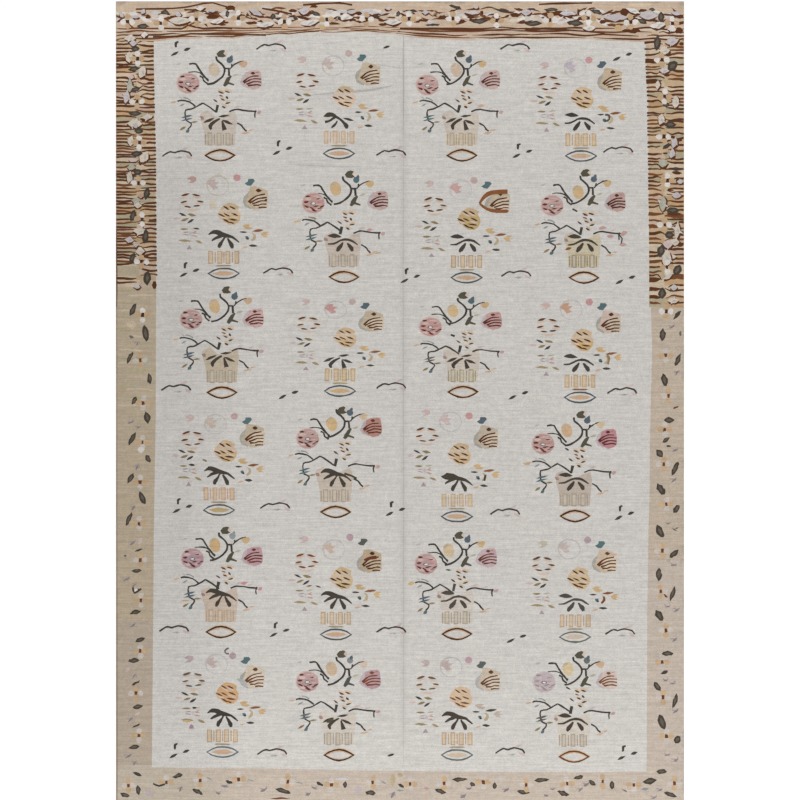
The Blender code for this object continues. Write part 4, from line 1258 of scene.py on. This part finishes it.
# Adds a node with its settings, and feeds its inputs: a socket is linked, anything else is the input's value
def addNode(tree, kind, feeds={}, **settings):
    node = tree.nodes.new(kind)
    for name, value in settings.items():
        setattr(node, name, value)
    for name, value in feeds.items():
        if isinstance(value, bpy.types.NodeSocket):
            tree.links.new(value, node.inputs[name])
        else:
            node.inputs[name].default_value = value
    return node


weaveLook = {
    "ribPitch": 0.0075,   # warp ribs are 3 mm apart; drawn 7.5 mm apart so that they show
    "pickPitch": 0.0040,  # wefts are 1 mm apart; drawn 4 mm apart
    "streakLength": 0.11, "streakHeight": 0.006, "streak": 0.115,
    "mottleSize": 0.020, "mottle": 0.07,
    "grainSize": 0.004, "grain": 0.115,
}


# Hand-spun wool tapestry weave: dull, with dye that drifts from weft to weft in fine streaks along X,
# and low ribs along Y where the wefts pass over the warps
def woolTapestry():
    look = weaveLook
    material = bpy.data.materials.new("woolTapestry")
    material.use_nodes = True
    tree = material.node_tree
    shader = tree.nodes["Principled BSDF"]
    place = addNode(tree, "ShaderNodeTexCoord").outputs["Object"]
    yarn = addNode(tree, "ShaderNodeAttribute", attribute_name="yarn").outputs["Color"]

    def drift(stretch, detail, amount):
        mapping = addNode(tree, "ShaderNodeMapping", {"Vector": place, "Scale": stretch})
        noise = addNode(tree, "ShaderNodeTexNoise",
                        {"Vector": mapping.outputs["Vector"], "Scale": 1.0, "Detail": detail})
        spread = addNode(tree, "ShaderNodeMapRange",
                         {"Value": noise.outputs["Fac"], "From Min": 0.25, "From Max": 0.75,
                          "To Min": 1 - amount, "To Max": 1 + amount})
        return spread.outputs["Result"]

    streak = drift((1 / look["streakLength"], 1 / look["streakHeight"], 1.0), 2.0, look["streak"])
    mottle = drift((1 / look["mottleSize"],) * 3, 3.0, look["mottle"])
    grain = drift((1 / look["grainSize"],) * 3, 1.0, look["grain"])
    both = addNode(tree, "ShaderNodeMath", {0: streak, 1: mottle}, operation="MULTIPLY").outputs["Value"]
    shade = addNode(tree, "ShaderNodeMath", {0: both, 1: grain}, operation="MULTIPLY").outputs["Value"]
    dyed = addNode(tree, "ShaderNodeVectorMath", {0: yarn, "Scale": shade}, operation="SCALE").outputs["Vector"]
    tree.links.new(dyed, shader.inputs["Base Color"])

    ribs = addNode(tree, "ShaderNodeTexWave",
                   {"Vector": place, "Scale": 2 * np.pi / (20 * look["ribPitch"]), "Distortion": 1.0,
                    "Detail": 1.0, "Detail Scale": 6.0},
                   wave_type="BANDS", bands_direction="X", wave_profile="SIN").outputs["Fac"]
    picks = addNode(tree, "ShaderNodeTexWave",
                    {"Vector": place, "Scale": 2 * np.pi / (20 * look["pickPitch"]), "Distortion": 1.5,
                     "Detail": 1.0, "Detail Scale": 4.0},
                    wave_type="BANDS", bands_direction="Y", wave_profile="SIN").outputs["Fac"]
    weaveHeight = addNode(tree, "ShaderNodeMath", {0: ribs, 1: picks}, operation="ADD").outputs["Value"]
    bump = addNode(tree, "ShaderNodeBump", {"Height": weaveHeight, "Strength": 0.35, "Distance": 0.0006})
    tree.links.new(bump.outputs["Normal"], shader.inputs["Normal"])
    shader.inputs["Roughness"].default_value = 0.93
    shader.inputs["Specular IOR Level"].default_value = 0.2
    shader.inputs["Sheen Weight"].default_value = 0.08
    shader.inputs["Sheen Roughness"].default_value = 0.6
    return material


# Pale matt floor paint: near white, with no gloss
def floorPaint():
    material = bpy.data.materials.new("floorPaint")
    material.use_nodes = True
    shader = material.node_tree.nodes["Principled BSDF"]
    shader.inputs["Base Color"].default_value = (*linear("FBFBFB"), 1.0)
    shader.inputs["Roughness"].default_value = 0.9
    shader.inputs["Specular IOR Level"].default_value = 0.1
    return material


# Floor, light and camera

studio = {
    "floorHalf": 8.0, "world": 0.76,
    "softbox": {"place": (2.0, -6.8, 13.0), "size": 5.0, "power": 985.0},
    "cameraHeight": 14.0, "frameWidth": 2.9577, "cameraY": 0.01166, "sensor": 36.0,
}


def makeStudio():
    half = studio["floorHalf"]
    mesh = bpy.data.meshes.new("floor")
    mesh.from_pydata([(-half, -half, 0), (half, -half, 0), (half, half, 0), (-half, half, 0)], [], [(0, 1, 2, 3)])
    mesh.materials.append(floorPaint())
    floor = bpy.data.objects.new("floor", mesh)
    bpy.context.scene.collection.objects.link(floor)

    world = bpy.data.worlds.new("daylight")
    world.use_nodes = True
    world.node_tree.nodes["Background"].inputs["Color"].default_value = (1.0, 1.0, 1.0, 1.0)
    world.node_tree.nodes["Background"].inputs["Strength"].default_value = studio["world"]
    bpy.context.scene.world = world

    softbox = studio["softbox"]
    lamp = bpy.data.lights.new("softbox", "AREA")
    lamp.size = softbox["size"]
    lamp.energy = softbox["power"]
    light = bpy.data.objects.new("softbox", lamp)
    light.location = softbox["place"]
    light.rotation_euler = (-Vector(softbox["place"])).to_track_quat("-Z", "Y").to_euler()
    bpy.context.scene.collection.objects.link(light)

    lens = bpy.data.cameras.new("camera")
    lens.sensor_width = studio["sensor"]
    lens.lens = studio["sensor"] * (studio["cameraHeight"] - cloth["thickness"]) / studio["frameWidth"]
    lens.clip_end = 100.0
    camera = bpy.data.objects.new("camera", lens)
    camera.location = (0.0, studio["cameraY"], studio["cameraHeight"])
    bpy.context.scene.collection.objects.link(camera)
    bpy.context.scene.camera = camera
    bpy.context.scene.view_settings.view_transform = "Standard"


weaveGround()
weaveStripes()
weaveTop()
weaveLeaves()
weaveFlowers()
weaveMarks()
weaveSprigs()
for vase in vases:
    weaveVase(vase)
print("chart: %d areas of yarn" % len(woven))

kilimCloth = makeCloth()
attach(kilimCloth, "root")
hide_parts("kilim")
makeStudio()
print("studio: floor, daylight, softbox and camera")
